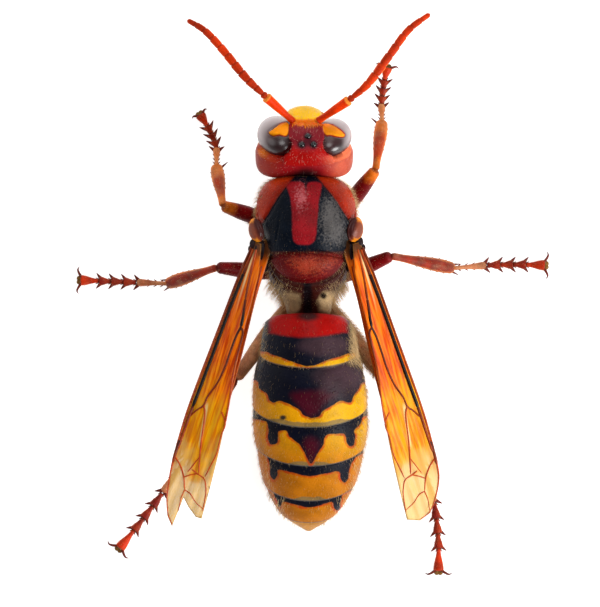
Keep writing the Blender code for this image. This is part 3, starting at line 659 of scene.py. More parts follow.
@dataclass(frozen=True)
class HairFinish:
    """The finish of the fine hairs: their colours where the shell is pale and where it is dark."""

    name: str
    pale: Color = (0.8, 0.56, 0.27)
    dark: Color = (0.05, 0.02, 0.01)
    roughness: float = 0.5

    def make(self) -> bpy.types.Material:
        """Build the material, which reads each tuft's own tone."""
        material, wiring, shader = blank_material(self.name)
        color = wiring.mix(wiring.value_of("tuft_tone"), rgba(self.pale), rgba(self.dark))
        tip = wiring.rise(wiring.value_of("tuft_up"), 0.2, 1.0, 0.0, 0.35)
        wiring.tree.links.new(wiring.mix(tip, color, rgba(self.pale)), shader.inputs["Base Color"])
        set_inputs(shader, {"Roughness": self.roughness, "Specular IOR Level": 0.2})
        return material


# Sweeps and coats by Geometry Nodes

def run_tree(holder: bpy.types.Object, tree: bpy.types.NodeTree, values: dict[str, Any]) -> bpy.types.Mesh:
    """Run a geometry tree on an object and keep the plain mesh that it makes.

    Args:
        holder: the object that the tree reads, which is removed.
        tree: the tree.
        values: the tree's inputs by name.

    Returns:
        The result as a mesh without modifiers.
    """
    modifier = holder.modifiers.new(tree.name, "NODES")
    modifier.node_group = tree
    names = {item.name: item.identifier for item in tree.interface.items_tree if item.in_out == "INPUT"}
    for label, value in values.items():
        modifier[names[label]] = value
    graph = bpy.context.evaluated_depsgraph_get()
    mesh = bpy.data.meshes.new_from_object(holder.evaluated_get(graph))
    source = holder.data
    bpy.data.objects.remove(holder, do_unlink=True)
    if source.users == 0:
        bpy.data.meshes.remove(source)
    return mesh


def sweep_tree() -> bpy.types.NodeTree:
    """Return the tree that turns lines into closed tubes, as thick as the lines say."""
    wiring, given, result = shared_group(
        "vein_sweep", {"Geometry": "Geometry", "Sides": "Int", "Material": "Material"},
        {"Geometry": "Geometry"}, "GeometryNodeTree")
    lines = wiring.add("GeometryNodeMeshToCurve", {"Mesh": given.outputs["Geometry"]})
    thick = wiring.add("GeometryNodeInputNamedAttribute", {"Name": "thickness"}, data_type="FLOAT")
    ring = wiring.add("GeometryNodeCurvePrimitiveCircle", {
        "Resolution": given.outputs["Sides"], "Radius": 1.0})
    tube = wiring.add("GeometryNodeCurveToMesh", {
        "Curve": lines.outputs[0], "Profile Curve": ring.outputs[0], "Scale": thick.outputs[0],
        "Fill Caps": True})
    smooth = wiring.add("GeometryNodeSetShadeSmooth", {"Geometry": tube.outputs[0]})
    whole = wiring.add("GeometryNodeRealizeInstances", {"Geometry": smooth.outputs[0]})
    finish = wiring.add("GeometryNodeSetMaterial", {
        "Geometry": whole.outputs[0], "Material": given.outputs["Material"]})
    wiring.tree.links.new(finish.outputs[0], result.inputs["Geometry"])
    return wiring.tree


def coat_tree() -> bpy.types.NodeTree:
    """Return the tree that grows bent hairs from a skin, along the lie that the skin states."""
    wiring, given, result = shared_group(
        "hair_coat", {"Geometry": "Geometry", "Density": "Float", "Length": "Float", "Thickness": "Float",
                      "Bend": "Float", "Tousle": "Float", "Seed": "Int", "Material": "Material"},
        {"Geometry": "Geometry"}, "GeometryNodeTree")

    def named(label: str, kind: str) -> bpy.types.NodeSocket:
        """Read an attribute of the skin."""
        return wiring.add("GeometryNodeInputNamedAttribute", {"Name": label}, data_type=kind).outputs[0]

    def stored(geometry: Any, label: str, kind: str, domain: str, value: Any) -> bpy.types.NodeSocket:
        """Store an attribute and return the geometry."""
        return wiring.add("GeometryNodeStoreNamedAttribute", {
            "Geometry": geometry, "Name": label, "Value": value}, data_type=kind, domain=domain).outputs[0]

    def scaled(vector: Any, factor: Any) -> bpy.types.NodeSocket:
        """Scale a vector."""
        return wiring.add("ShaderNodeVectorMath", {0: vector, 3: factor}, operation="SCALE").outputs[0]

    def summed(first: Any, second: Any) -> bpy.types.NodeSocket:
        """Add two vectors."""
        return wiring.add("ShaderNodeVectorMath", {0: first, 1: second}, operation="ADD").outputs[0]

    def chance(low: float, high: float) -> bpy.types.NodeSocket:
        """Draw one number for each hair."""
        return wiring.add("FunctionNodeRandomValue", {2: low, 3: high, "Seed": given.outputs["Seed"]},
                          data_type="FLOAT").outputs[1]

    density = wiring.math("MULTIPLY", named("coat_density", "FLOAT"), given.outputs["Density"])
    scatter = wiring.add("GeometryNodeDistributePointsOnFaces", {
        "Mesh": given.outputs["Geometry"], "Density": density, "Seed": given.outputs["Seed"]})
    swing = wiring.add("FunctionNodeRandomValue", {
        0: (-1.0, -1.0, -1.0), 1: (1.0, 1.0, 1.0), "Seed": given.outputs["Seed"]}, data_type="FLOAT_VECTOR")
    lie = named("coat_lie", "FLOAT_VECTOR")
    tousled = scaled(swing.outputs[0], given.outputs["Tousle"])
    heading = summed(summed(scatter.outputs["Normal"], lie), tousled)
    turn = wiring.add("FunctionNodeAxesToRotation", {"Primary Axis": heading, "Secondary Axis": lie},
                      primary_axis="Z", secondary_axis="X")
    share = wiring.math("MULTIPLY", named("coat_length", "FLOAT"), chance(0.6, 1.2))
    length = wiring.math("MULTIPLY", share, given.outputs["Length"])
    rooted = stored(scatter.outputs["Points"], "tuft_root", "FLOAT_VECTOR", "POINT",
                    named(SKIN_MAP, "FLOAT_VECTOR"))
    tone = wiring.math("ADD", named("coat_tone", "FLOAT"), chance(-0.25, 0.25))
    tone.node.use_clamp = True
    toned = stored(rooted, "tuft_tone", "FLOAT", "POINT", tone)
    cone = wiring.add("GeometryNodeMeshCone", {
        "Vertices": 3, "Side Segments": 3, "Radius Top": 0.0, "Radius Bottom": given.outputs["Thickness"],
        "Depth": 1.0}, fill_type="NGON")
    height = wiring.add("ShaderNodeSeparateXYZ", {0: wiring.add("GeometryNodeInputPosition").outputs[0]})
    drawn = stored(cone.outputs["Mesh"], "tuft_uv", "FLOAT2", "CORNER", cone.outputs["UV Map"])
    drawn = stored(drawn, "tuft_up", "FLOAT", "POINT", height.outputs[2])
    bend = wiring.math("MULTIPLY", wiring.math("POWER", height.outputs[2], 2.0), given.outputs["Bend"])
    shift = wiring.add("ShaderNodeCombineXYZ", {0: bend, 2: -0.05})
    bent = wiring.add("GeometryNodeSetPosition", {"Geometry": drawn, "Offset": shift.outputs[0]})
    grown = wiring.add("GeometryNodeInstanceOnPoints", {
        "Points": toned, "Instance": bent.outputs[0], "Rotation": turn.outputs[0], "Scale": length})
    whole = wiring.add("GeometryNodeRealizeInstances", {"Geometry": grown.outputs[0]})
    patch = scaled(named("tuft_uv", "FLOAT_VECTOR"), TUFT_PATCH)
    spot = summed(named("tuft_root", "FLOAT_VECTOR"), patch)
    baked = stored(whole.outputs[0], BAKE_MAP, "FLOAT2", "CORNER", spot)
    smooth = wiring.add("GeometryNodeSetShadeSmooth", {"Geometry": baked})
    finish = wiring.add("GeometryNodeSetMaterial", {
        "Geometry": smooth.outputs[0], "Material": given.outputs["Material"]})
    wiring.tree.links.new(finish.outputs[0], result.inputs["Geometry"])
    return wiring.tree


@dataclass(frozen=True)
class Coat:
    """One coat of fine hairs: hairs in a square millimetre, their length (mm) and how they stand."""

    density: float
    length: float
    thickness: float = 0.03
    bend: float = 0.25
    tousle: float = 0.35
    seed: int = 1

    def grow(self, skins: Sequence[bpy.types.Mesh], tree: bpy.types.NodeTree,
             finish: bpy.types.Material) -> bpy.types.Mesh:
        """Grow the hairs on skins that carry coat_density, coat_length, coat_lie and coat_tone.

        Args:
            skins: the skins' meshes, which are left as they are.
            tree: the coat tree.
            finish: the hairs' material.

        Returns:
            One mesh of all the hairs.
        """
        coats = []
        for number, skin in enumerate(skins):
            holder = placed("coat_holder", skin.copy())
            coats.append(run_tree(holder, tree, {
                "Density": self.density / MM**2, "Length": self.length * MM, "Thickness": self.thickness,
                "Bend": self.bend, "Tousle": self.tousle, "Seed": self.seed + number, "Material": finish}))
        return coats[0] if len(coats) == 1 else joined("coat", coats)


def comb(mesh: bpy.types.Mesh, density: Any, length: Any, lie: Any, tone: Any) -> None:
    """State where and how hairs grow on a skin.

    Args:
        mesh: the skin.
        density: shares of the coat's density for its points.
        length: shares of the coat's length.
        lie: the direction that the hairs lean to, longer where they lie flatter.
        tone: 0 for pale hairs and 1 for dark ones.
    """
    set_value(mesh, "coat_density", density)
    set_value(mesh, "coat_length", length)
    set_value(mesh, "coat_tone", tone)
    set_vector(mesh, "coat_lie", np.broadcast_to(np.asarray(lie, float), (len(mesh.vertices), 3)))


# Head

@dataclass(frozen=True)
class HeadFrame:
    """The head's own frame: x to the left, y to the nape and z to the crown, pitched forwards."""

    centre: Place = (0.68, -12.3, 6.0)
    pitch: float = 30.0

    def out(self, local: np.ndarray) -> np.ndarray:
        """Turn places of the head's frame into places of the model."""
        lean = math.radians(self.pitch)
        x, y, z = local[..., 0], local[..., 1], local[..., 2]
        return np.stack([self.centre[0] + x, self.centre[1] + y * math.cos(lean) + z * math.sin(lean),
                         self.centre[2] - y * math.sin(lean) + z * math.cos(lean)], axis=-1)

    def back(self, world: np.ndarray) -> np.ndarray:
        """Turn places of the model into places of the head's frame."""
        lean = math.radians(self.pitch)
        x, y, z = np.moveaxis(world - self.centre, -1, 0)
        return np.stack([x, y * math.cos(lean) - z * math.sin(lean), y * math.sin(lean) + z * math.cos(lean)],
                        axis=-1)


@dataclass(frozen=True)
class EyeForm:
    """The ellipsoid that a compound eye follows, in the head's frame."""

    centre: Place
    size: Place
    lean: float

    def _turn(self) -> np.ndarray:
        """Return the rotation that leans the eye."""
        angle = math.radians(self.lean)
        return np.array([[math.cos(angle), 0, math.sin(angle)], [0, 1, 0],
                         [-math.sin(angle), 0, math.cos(angle)]])

    def place(self, unit: np.ndarray) -> np.ndarray:
        """Put the points of a unit ball on the eye."""
        return self.centre + (unit * self.size) @ self._turn().T

    def measure(self, points: np.ndarray) -> tuple[np.ndarray, np.ndarray]:
        """Measure how far points lie outside the eye.

        Args:
            points: places in the head's frame.

        Returns:
            The distances, negative inside, and the directions away from the eye.
        """
        away = points - self.centre
        unit = (away @ self._turn()) / self.size
        reach = np.linalg.norm(unit, axis=-1)
        distance = (reach - 1) * np.linalg.norm(away, axis=-1) / np.maximum(reach, 1e-6)
        lead = (unit / self.size) @ self._turn().T
        return distance, lead / np.linalg.norm(lead, axis=-1)[..., None]

    def roof(self, frame: HeadFrame, points: np.ndarray) -> tuple[np.ndarray, np.ndarray]:
        """Find the eye's upper surface under or over places of the model.

        Args:
            frame: the head's frame.
            points: places of the model.

        Returns:
            Where each lies against the eye's plan outline (1 on it), and the surface's height there.
        """
        origin = frame.out(np.zeros(3))
        turn = np.stack([frame.out(way) - origin for way in np.eye(3)], axis=1)
        reach = turn @ self._turn() @ np.diag(self.size)
        form = reach @ reach.T
        plan = np.linalg.inv(form[:2, :2])
        middle = frame.out(np.array(self.centre))
        away = (points - middle)[..., :2]
        shadow = np.sqrt(np.einsum("...i,ij,...j->...", away, plan, away))
        near = away / np.maximum(shadow, 1.0)[..., None]
        tall = math.sqrt(form[2, 2] - form[2, :2] @ plan @ form[:2, 2])
        height = middle[2] + near @ plan @ form[:2, 2] + tall * np.sqrt(np.maximum(1 - shadow**2, 0))
        return shadow, height


EYES = {Side.LEFT: EyeForm((2.02, -0.64, 0.25), (1.72, 1.34, 2.4), -10.0),
        Side.RIGHT: EyeForm((-2.12, -0.5, 0.25), (1.65, 1.24, 2.35), 10.0)}
BETWEEN_EYES = ((1.94, -14.3), (1.94, -12.5), (1.71, -12.2), (1.71, -11.75), (1.9, -11.4), (2.4, -11.05),
                (2.4, -9.5), (-1.7, -9.5), (-1.7, -11.05), (-1.1, -11.35), (-0.85, -11.7), (-0.81, -12.2),
                (-0.95, -12.55), (-0.95, -14.3))
SINUS_LEFT = rounded(((3.51, -12.94), (3.33, -13.18), (2.98, -13.43), (2.56, -13.66), (2.1, -13.81),
                      (1.94, -13.68), (1.98, -12.92), (2.22, -12.71), (2.66, -12.83), (3.14, -12.72)), 3)
SINUS_RIGHT = rounded(((-0.87, -13.74), (-1.52, -13.58), (-2.02, -13.3), (-2.5, -12.85), (-2.42, -12.65),
                       (-1.85, -12.69), (-1.36, -12.81), (-1.1, -12.77), (-0.85, -13.1)), 3)


@dataclass
class HeadCapsule:
    """The head capsule with its clypeus, antennal sockets, seams and temples."""

    effects: Effects
    frame: HeadFrame = HeadFrame()
    half_width: float = 3.92
    up: float = 3.3
    down: float = 3.9
    front: float = 1.95
    back: float = 2.65
    front_box: float = 2.2
    back_box: float = 7.0
    crown: float = 2.3
    cheek_draw: float = 0.42
    cheek_sink: float = 1.15
    sockets: tuple[Spot, ...] = ((1.12, 0.1), (-1.2, 0.1))
    socket_radius: float = 0.45
    ocelli: tuple[Spot, ...] = ((0.4, -12.66), (0.88, -12.0), (-0.05, -12.0))
    clypeus: tuple[Spot, ...] = (
        (0.7, 0.32), (1.25, -0.3), (1.5, -1.3), (1.35, -2.2), (0.9, -2.95), (0.35, -2.8), (-0.35, -2.8),
        (-0.9, -2.95), (-1.35, -2.2), (-1.5, -1.3), (-1.25, -0.3), (-0.7, 0.32))
    frons: tuple[Spot, ...] = (
        (1.9, -13.5), (2.0, -12.9), (2.3, -12.6), (1.6, -11.9), (0.45, -11.5), (-0.6, -11.9), (-1.3, -12.6),
        (-0.9, -13.0), (-0.8, -13.5))
    brush: tuple[Spot, ...] = (
        (1.8, -14.05), (-1.0, -14.05), (-0.95, -13.7), (-0.3, -13.56), (0.45, -13.5), (1.2, -13.58),
        (1.75, -13.75))

    def shape(self, ways: np.ndarray) -> np.ndarray:
        """Send directions to the capsule's surface, in the head's frame."""
        x, y, z = ways[..., 0], ways[..., 1], ways[..., 2]
        box = np.where(y > 0, self.back_box, self.front_box)
        flat = (np.abs(x) ** box + np.abs(y) ** box) ** (1 / box)
        size = (flat**self.crown + np.abs(z) ** self.crown) ** (-1 / self.crown)
        x, y, z = x * size, y * size, z * size
        draw = 1 - self.cheek_draw * Profile(((0.0, 0.0), (0.45, 0.25), (1.0, 1.0)))(np.maximum(-z, 0))
        nape = 0.35 * np.exp(-((x / 0.4) ** 2) - ((z + 0.1) / 0.5) ** 2)
        dome = 0.33 * np.exp(-((x / 0.36) ** 2) - ((z + 0.45) / 0.42) ** 2)
        depth = y * np.where(y > 0, self.back, self.front) - np.where(y > 0, nape, dome)
        wide = x * self.half_width * draw
        tall = z * np.where(z > 0, self.up, self.down)
        cheek = ease(1.2, 1.8, np.abs(wide)) * ease(0.5, -0.4, tall) * ease(0.0, -0.5, y)
        return np.stack([wide, depth + self.cheek_sink * cheek, tall], axis=-1)

    def _settle(self, local: np.ndarray) -> np.ndarray:
        """Sink the capsule round the eyes, and bring it level with them in the yellow notches."""
        for side, outline in ((Side.LEFT, SINUS_LEFT), (Side.RIGHT, SINUS_RIGHT)):
            world = self.frame.out(local)
            shadow, height = EYES[side].roof(self.frame, world)
            middle = region(world[..., :2].reshape(-1, 2), BETWEEN_EYES).reshape(shadow.shape)
            kept = ease(0.0, 0.1, middle)
            share = 0.75 * ease(1.16, 1.03, shadow) + 0.25 * ease(1.6, 1.1, shadow)
            drop = np.maximum(world[..., 2] - height + 0.08, 0) * share * (1 - kept)
            local = self.frame.back(world - drop[..., None] * np.array((0.0, 0.0, 1.0)))
            distance, lead = EYES[side].measure(local)
            beside = 0.4 * (1 - ease(0.35, 0.9, distance)) * (world[..., 2] < height)
            push = np.where(distance < 0.35, np.maximum(distance + 0.05, 0), beside) * (1 - kept)
            spots = self.frame.out(local)[..., :2].reshape(-1, 2)
            notch = ease(-0.1, 0.08, region(spots, outline)).reshape(distance.shape)
            notch = notch * (distance < 1.2) * (local[..., 1] < 0.6) * (world[..., 2] > height - 0.4)
            push = push * (1 - notch) + (distance - 0.03) * notch
            local = local - lead * push[..., None]
        return local

    def _carve(self, local: np.ndarray) -> np.ndarray:
        """Cut the clypeus seam, the frontal furrow and the socket rims into the face."""
        x, y, z = local[..., 0], local[..., 1], local[..., 2]
        face = ease(0.2, -0.6, y)
        flat = np.stack([x, z], axis=-1).reshape(-1, 2)
        seam = region(flat, rounded(self.clypeus, 4)).reshape(x.shape)
        lift = -0.06 * np.exp(-((seam / 0.09) ** 2)) + 0.06 * ease(0.0, 0.8, seam)
        lift = lift - 0.06 * np.exp(-((x / 0.07) ** 2)) * ease(0.35, 0.6, z) * ease(2.4, 1.9, z)
        for at, up in self.sockets:
            reach = np.hypot(x - at, z - up)
            lift = lift + 0.08 * np.exp(-(((reach - self.socket_radius) / 0.12) ** 2))
            lift = lift - 0.3 * np.exp(-((reach / 0.32) ** 2))
        rim = 0.05 * np.exp(-(((y - 2.25) / 0.1) ** 2))
        ways = local / np.linalg.norm(local, axis=-1)[..., None]
        return local + ways * (lift * face - rim)[..., None]

    def build(self) -> bpy.types.Mesh:
        """Build the capsule's skin with its markings and the lie of its hairs."""
        local = self._carve(self._settle(self.shape(ball_rows(170, 230))))
        rows = self.frame.out(local)
        mesh = grid_mesh("head_skin", rows)
        flat_local = np.concatenate([local.reshape(-1, 3), [local[0].mean(0), local[-1].mean(0)]])
        world = read_points(mesh)
        spots = world[:, :2]
        x, y, z = flat_local.T
        front = ease(0.5, 0.0, y)
        sinus = np.maximum(region(spots, SINUS_LEFT), region(spots, SINUS_RIGHT))
        set_value(mesh, "sinus", np.where(y < 0.6, sinus, -1.0))
        brow = 0.3 - 0.25 * np.clip(np.abs(x) - 1.2, 0, 1)
        set_value(mesh, "face", np.where(y < 0.3, brow - z, -1.0))
        seam = region(np.stack([x, z], axis=1), rounded(self.clypeus, 4))
        set_value(mesh, "seam", np.where(y < 0, 0.05 - np.abs(seam), -1.0))
        set_value(mesh, "frons", region(spots, rounded(self.frons, 3)) * front)
        ocelli = np.max([0.36 - np.hypot(*(spots - at).T) for at in self.ocelli], axis=0)
        inner = region(spots, self.ocelli)
        set_value(mesh, "ocellar", np.where(z > 0, np.maximum(ocelli, inner + 0.1), -1.0))
        # Painted shadow: the back of the head turns near-black where it curves down to the neck.
        nape = 0.6 - np.hypot((spots[:, 0] - 0.55) / 1.9, spots[:, 1] + 9.5)
        set_value(mesh, "rear", np.where(y > 0, nape, -1.0))
        set_value(mesh, "temple", (x - 2.4) * (y > -0.4) - 5.0 * (y <= -0.4))
        # Painted light: the temple on the -X side is painted a lighter orange, as if lit from that side.
        set_value(mesh, "lit_temple", (-x - 2.2) * (y > -0.4) - 5.0 * (y <= -0.4))
        set_value(mesh, "glow", 0.3 - np.hypot((spots[:, 0] - 4.0) / 1.2, spots[:, 1] + 11.4))
        set_value(mesh, "brush", np.where(y < 0, region(spots, self.brush), -1.0))
        # Painted shade: darker red round each antennal socket, where the scape's base sits in its hollow.
        sockets = np.max([0.32 - np.hypot(x - at, z - up) for at, up in self.sockets], axis=0)
        set_value(mesh, "socket", np.where(y < 0, sockets, -1.0))
        bare = np.min([EYES[side].measure(flat_local)[0] for side in Side], axis=0)
        fringe = ease(-0.1, 0.1, get_value(mesh, "brush"))
        wide = np.abs(x)
        tufts = np.exp(-(((spots[:, 1] + 11.75) / 0.35) ** 2)) * ease(0.6, 1.0, wide) * ease(2.2, 1.8, wide)
        density = ease(0.1, 0.4, bare) * (0.22 + 0.3 * front + 0.6 * tufts)
        density = density * ease(0.0, -0.2, sinus) * (1 - fringe)
        lie = np.stack([0.2 * x, -0.9 + 0.4 * z, -0.3 + 0 * z], axis=1)
        comb(mesh, density, 0.7 + 0.3 * front, lie, 0.25 * (1 - tufts))
        return mesh

    def comb_brow(self, mesh: bpy.types.Mesh) -> None:
        """State the lie of the bristles between the antennae."""
        comb(mesh, ease(-0.12, 0.06, get_value(mesh, "brush")), 1.0, (0.0, 1.1, 0.1), 0.5)

    def finish(self) -> bpy.types.Material:
        """Return the capsule's finish: red, with a yellow face and maroon between the eyes."""
        return ShellFinish("red_head_shell", (0.33, 0.003, 0.002), (
            Marking("temple", (0.38, 0.045, 0.012), 1.0, 0.25, 900, 0.85),
            # painted light on the -X temple
            Marking("lit_temple", (0.8, 0.17, 0.07), 1.0, 0.25, 900, 0.85),
            Marking("glow", (0.8, 0.19, 0.008), 0.3, 0.12, 1500, 0.85),
            Marking("frons", (0.21, 0.008, 0.016), 0.35, 0.15, 1300, 0.95),
            Marking("sinus", (0.92, 0.29, 0.003), 0.06, 0.03),
            Marking("face", (1.0, 0.57, 0.005), 0.16, 0.1),
            Marking("seam", (0.5, 0.1, 0.003), 0.04, 0.02, 1600, 0.4),
            Marking("brush", (0.95, 0.15, 0.001), 0.12, 0.12, 3500, 0.9),
            # painted shade round the antennal sockets
            Marking("socket", (0.25, 0.02, 0.004), 0.1, 0.02),
            Marking("ocellar", (0.05, 0.003, 0.01), 0.1, 0.06, 1600, 0.8),
            # painted shadow at the back of the head, by the neck
            Marking("rear", (0.02, 0.003, 0.004), 0.35, 0.15),
        ), relief=0.035, pit_scale=4200.0, specular=0.1).make(self.effects)

    def small_eyes(self, skin: bpy.types.Mesh) -> bpy.types.Mesh:
        """Set the three ocelli on the crown."""
        domes = []
        for spot in self.ocelli:
            at, normal = drop_onto([skin], spot)
            turn = np.array(normal.to_track_quat("Z", "Y").to_matrix())
            unit = ball_rows(16, 24)[..., [1, 2, 0]] * (0.25, 0.25, 0.22)
            domes.append(grid_mesh("ocellus", unit @ turn.T + np.array(at) / MM))
        return joined("ocelli", domes)

    def small_eye_finish(self) -> bpy.types.Material:
        """Return the finish of the ocelli: black glass."""
        return ShellFinish("ocellus_glass", (0.001, 0.001, 0.002), roughness=0.2, rough_drift=0.02,
                           relief=0.0, specular=0.6).make(self.effects)


@dataclass
class CompoundEyes:
    """The two bean-shaped compound eyes with their fine facets, a painted pale reflection along the outer rim
    and painted shade along the inner rim.
    """

    effects: Effects
    frame: HeadFrame = HeadFrame()
    facet: float = 0.045

    def build(self, side: Side) -> bpy.types.Mesh:
        """Build one eye.

        Args:
            side: which eye.

        Returns:
            The eye's mesh, sunk where the yellow notch of the head crosses it.
        """
        unit = ball_rows(90, 120)
        local = EYES[side].place(unit)
        lead = EYES[side].measure(local)[1]
        outline = SINUS_LEFT if side is Side.LEFT else SINUS_RIGHT
        spots = self.frame.out(local)[..., :2].reshape(-1, 2)
        inside = region(spots, outline).reshape(unit.shape[:2])
        sunk = 0.3 * ease(-0.12, 0.06, inside) * (local[..., 1] < 0.3)
        local = local - unit * sunk[..., None]
        mesh = grid_mesh("eye_" + side.word, self.frame.out(local))
        normal = (self.frame.out(lead) - self.frame.out(np.zeros(3))).reshape(-1, 3)
        normal = np.concatenate([normal, [normal[:unit.shape[1]].mean(0), normal[-unit.shape[1]:].mean(0)]])
        reach = np.hypot(normal[:, 0], normal[:, 1])
        outward = (normal[:, 0] * side.value * 0.6 - normal[:, 1] * 0.85) / np.maximum(reach, 1e-6)
        # Painted reflection: pale where the outer and front rim turns away from the camera.
        rim = ease(0.6, 1.0, reach) * ease(0.05, 0.85, outward) * ease(-0.6, 0.0, normal[:, 2])
        set_value(mesh, "rim_reflection", rim)
        # Painted shade: dark blue along the inner and rear rim.
        set_value(mesh, "rim_shade", ease(0.75, 0.98, reach) * ease(0.3, -0.4, outward))
        return mesh

    def finish(self) -> bpy.types.Material:
        """Return the finish of the eyes: maroon-black facets with a painted pale reflection on the outer rim
        and painted bluish shade on the inner rim, under a clear gloss.
        """
        material, wiring, shader = blank_material("facetted_eye")
        at = wiring.add("ShaderNodeTexCoord").outputs["Object"]
        cells = wiring.add("ShaderNodeTexVoronoi", {"Vector": at, "Scale": 1 / (self.facet * MM)})
        cloud = wiring.rise(wiring.noise(500.0, 2.0, at), 0.35, 0.65)
        base = wiring.mix(cloud, rgba((0.015, 0.002, 0.003)), rgba((0.045, 0.006, 0.008)))
        # Painted shade along the inner rim, then a painted pale reflection along the outer rim.
        base = wiring.mix(wiring.value_of("rim_shade"), base, rgba((0.002, 0.004, 0.012)))
        rim = wiring.math("MULTIPLY", wiring.value_of("rim_reflection"), 0.9)
        base = wiring.mix(rim, base, rgba((0.42, 0.33, 0.33)))
        wiring.tree.links.new(base, shader.inputs["Base Color"])
        bump = wiring.add("ShaderNodeBump", {"Height": cells.outputs["Distance"], "Strength": 0.4,
                                             "Distance": 0.003 * MM})
        wiring.tree.links.new(bump.outputs["Normal"], shader.inputs["Normal"])
        set_inputs(shader, {"Roughness": 0.35, "Specular IOR Level": 0.3, "Coat Weight": 1.0,
                            "Coat Roughness": 0.27})
        return material


@dataclass
class Mandibles:
    """The closed, toothed mandibles under the clypeus."""

    effects: Effects
    frame: HeadFrame = HeadFrame()
    path: tuple[Place, ...] = ((1.6, 0.6, -2.6), (1.6, 0.4, -3.4), (1.15, 0.05, -4.1), (0.2, -0.1, -4.6))
    radii: tuple[float, ...] = (0.6, 0.64, 0.5, 0.24)
    teeth: tuple[Spot, ...] = ((0.15, 0.45), (0.55, 0.7), (0.95, 0.7))
    tooth_radius: float = 0.2

    def build(self, side: Side) -> bpy.types.Mesh:
        """Build one mandible, dark at its biting edge."""
        path = smooth_path([(side.value * x, y, z) for x, y, z in self.path], 40)
        share = np.linspace(0, 1, 41)
        radii = spread(self.radii, share) * (1 - 0.06 * np.exp(-(((share - 0.12) / 0.03) ** 2)))
        meshes = [tube_mesh("jaw", self.frame.out(path), radii, 32, 0.92, tip=share * 4 - 3.1)]
        corner = path[round(len(path) * 0.6)]
        lean = np.array((-0.3 * side.value, 0.1, 1.0))
        for place, length in self.teeth:
            root = path[-1] + (corner - path[-1]) * place
            run = root + np.linspace(-0.1, 1, 8)[:, None] * lean * length
            girth = self.tooth_radius * np.sqrt(np.linspace(1.0, 0.01, 8))
            meshes.append(tube_mesh("tooth", self.frame.out(run), girth, 12, tip=np.full(8, 0.5)))
        return joined("mandible_" + side.word, meshes)

    def finish(self) -> bpy.types.Material:
        """Return the finish of the jaws: amber with dark teeth."""
        return ShellFinish("jaw_shell", (0.72, 0.3, 0.02), (
            Marking("tip", (0.03, 0.01, 0.006), 0.5, 0.2, 1200),
        ), roughness=0.28, pits=0.3).make(self.effects)


@dataclass(frozen=True)
class AntennaPlan:
    """Where one antenna runs: its socket, its elbow and the places that the whip passes."""

    socket: Place
    elbow: Place
    whip: tuple[Place, ...]


@dataclass
class Antennae:
    """The elbowed antennae: a flared scape, a narrow pedicel and ten flagellar joints."""

    effects: Effects
    plans: tuple[AntennaPlan, ...] = (
        AntennaPlan((1.74, -14.04, 7.2), (3.74, -15.8, 8.6),
                    ((5.34, -17.32, 9.2), (7.26, -19.64, 9.3), (8.62, -21.08, 8.8), (10.02, -21.95, 8.0))),
        AntennaPlan((-0.6, -14.04, 7.2), (-2.88, -15.54, 8.6),
                    ((-4.35, -16.8, 9.2), (-6.14, -19.15, 9.3), (-7.63, -21.13, 8.8), (-9.36, -22.45, 8.0))))
    scape_radii: tuple[float, ...] = (0.3, 0.27, 0.31, 0.35, 0.38, 0.42)
    joints: int = 10
    whip_radii: tuple[float, ...] = (0.2, 0.28, 0.34, 0.36, 0.36, 0.35, 0.34, 0.32, 0.29, 0.25, 0.19)

    def _scape(self, plan: AntennaPlan) -> bpy.types.Mesh:
        """Build the scape, with a pale lip at its far end."""
        socket, elbow = np.array(plan.socket), np.array(plan.elbow)
        start = socket + (socket - elbow) * 0.06
        path = smooth_path((start, socket * 0.5 + elbow * 0.5 + (0, 0, 0.08), elbow), 48)
        share = np.linspace(0, 1, 49)
        radii = spread(self.scape_radii, share) * (1 - 0.75 * ease(0.975, 1.0, share))
        return tube_mesh("scape", path, radii, 28, lip=(share - 0.94) * 10, joint=share * 0 - 1,
                         whip=(0.3 - share) * 0.5, island=(0, 0, 1, 0.2))

    def _whip(self, plan: AntennaPlan) -> bpy.types.Mesh:
        """Build the pedicel and the flagellum's joints, each a little wider at its far end."""
        steps = self.joints * 14 + 14
        path = smooth_path((plan.elbow, *plan.whip), steps)
        share = np.linspace(0, 1, steps + 1)
        pedicel = 0.045
        run = np.clip((share - pedicel) / (1 - pedicel), 0, 1) ** 0.94 * self.joints
        inner = run % 1.0
        inner[-1] = 1.0
        swell = 0.9 + 0.12 * inner - 0.2 * np.exp(-((inner / 0.06) ** 2))
        swell = swell - 0.2 * np.exp(-(((1 - inner) / 0.04) ** 2))
        radii = np.where(share < pedicel, 0.2 + 0.1 * np.sin(math.pi * share / pedicel),
                         swell * spread(self.whip_radii, share))
        radii *= 1 - 0.9 * ease(0.97, 1.0, share) ** 2
        joint = 0.06 - np.minimum(inner, 1 - inner)
        return tube_mesh("whip", path, radii, 24, lip=share * 0 - 1, joint=joint, whip=share * 0 + 1,
                         island=(0, 0.22, 1, 1))

    def build(self, side: Side) -> bpy.types.Mesh:
        """Build one antenna and state its down."""
        plan = self.plans[0 if side is Side.LEFT else 1]
        mesh = joined("antenna_" + side.word, [self._scape(plan), self._whip(plan)])
        set_value(mesh, "edge_glow", side_glow(mesh, 0.86))
        lie = np.array(plan.elbow) - plan.socket
        comb(mesh, 1.0, 1.0, lie / np.linalg.norm(lie) * 0.9, 0.25)
        return mesh

    def finish(self) -> bpy.types.Material:
        """Return the finish of the antennae: rust red with darker joints."""
        return ShellFinish("antenna_shell", (0.7, 0.034, 0.001), (
            Marking("whip", (0.46, 0.026, 0.002), 0.1, 0.05, 1600, 0.85),
            Marking("edge_glow", (0.85, 0.17, 0.005), 0.12, 0.04, 2500, 0.6),
            Marking("joint", (0.3, 0.022, 0.003), 0.06, 0.03, 2500, 0.6),
            Marking("lip", (0.85, 0.3, 0.04), 0.2, 0.05, 1600, 0.7),
        ), roughness=0.42, pits=0.8, pit_scale=7000.0, relief=0.02, clouds=0.3,
            specular=0.07).make(self.effects)


# Thorax

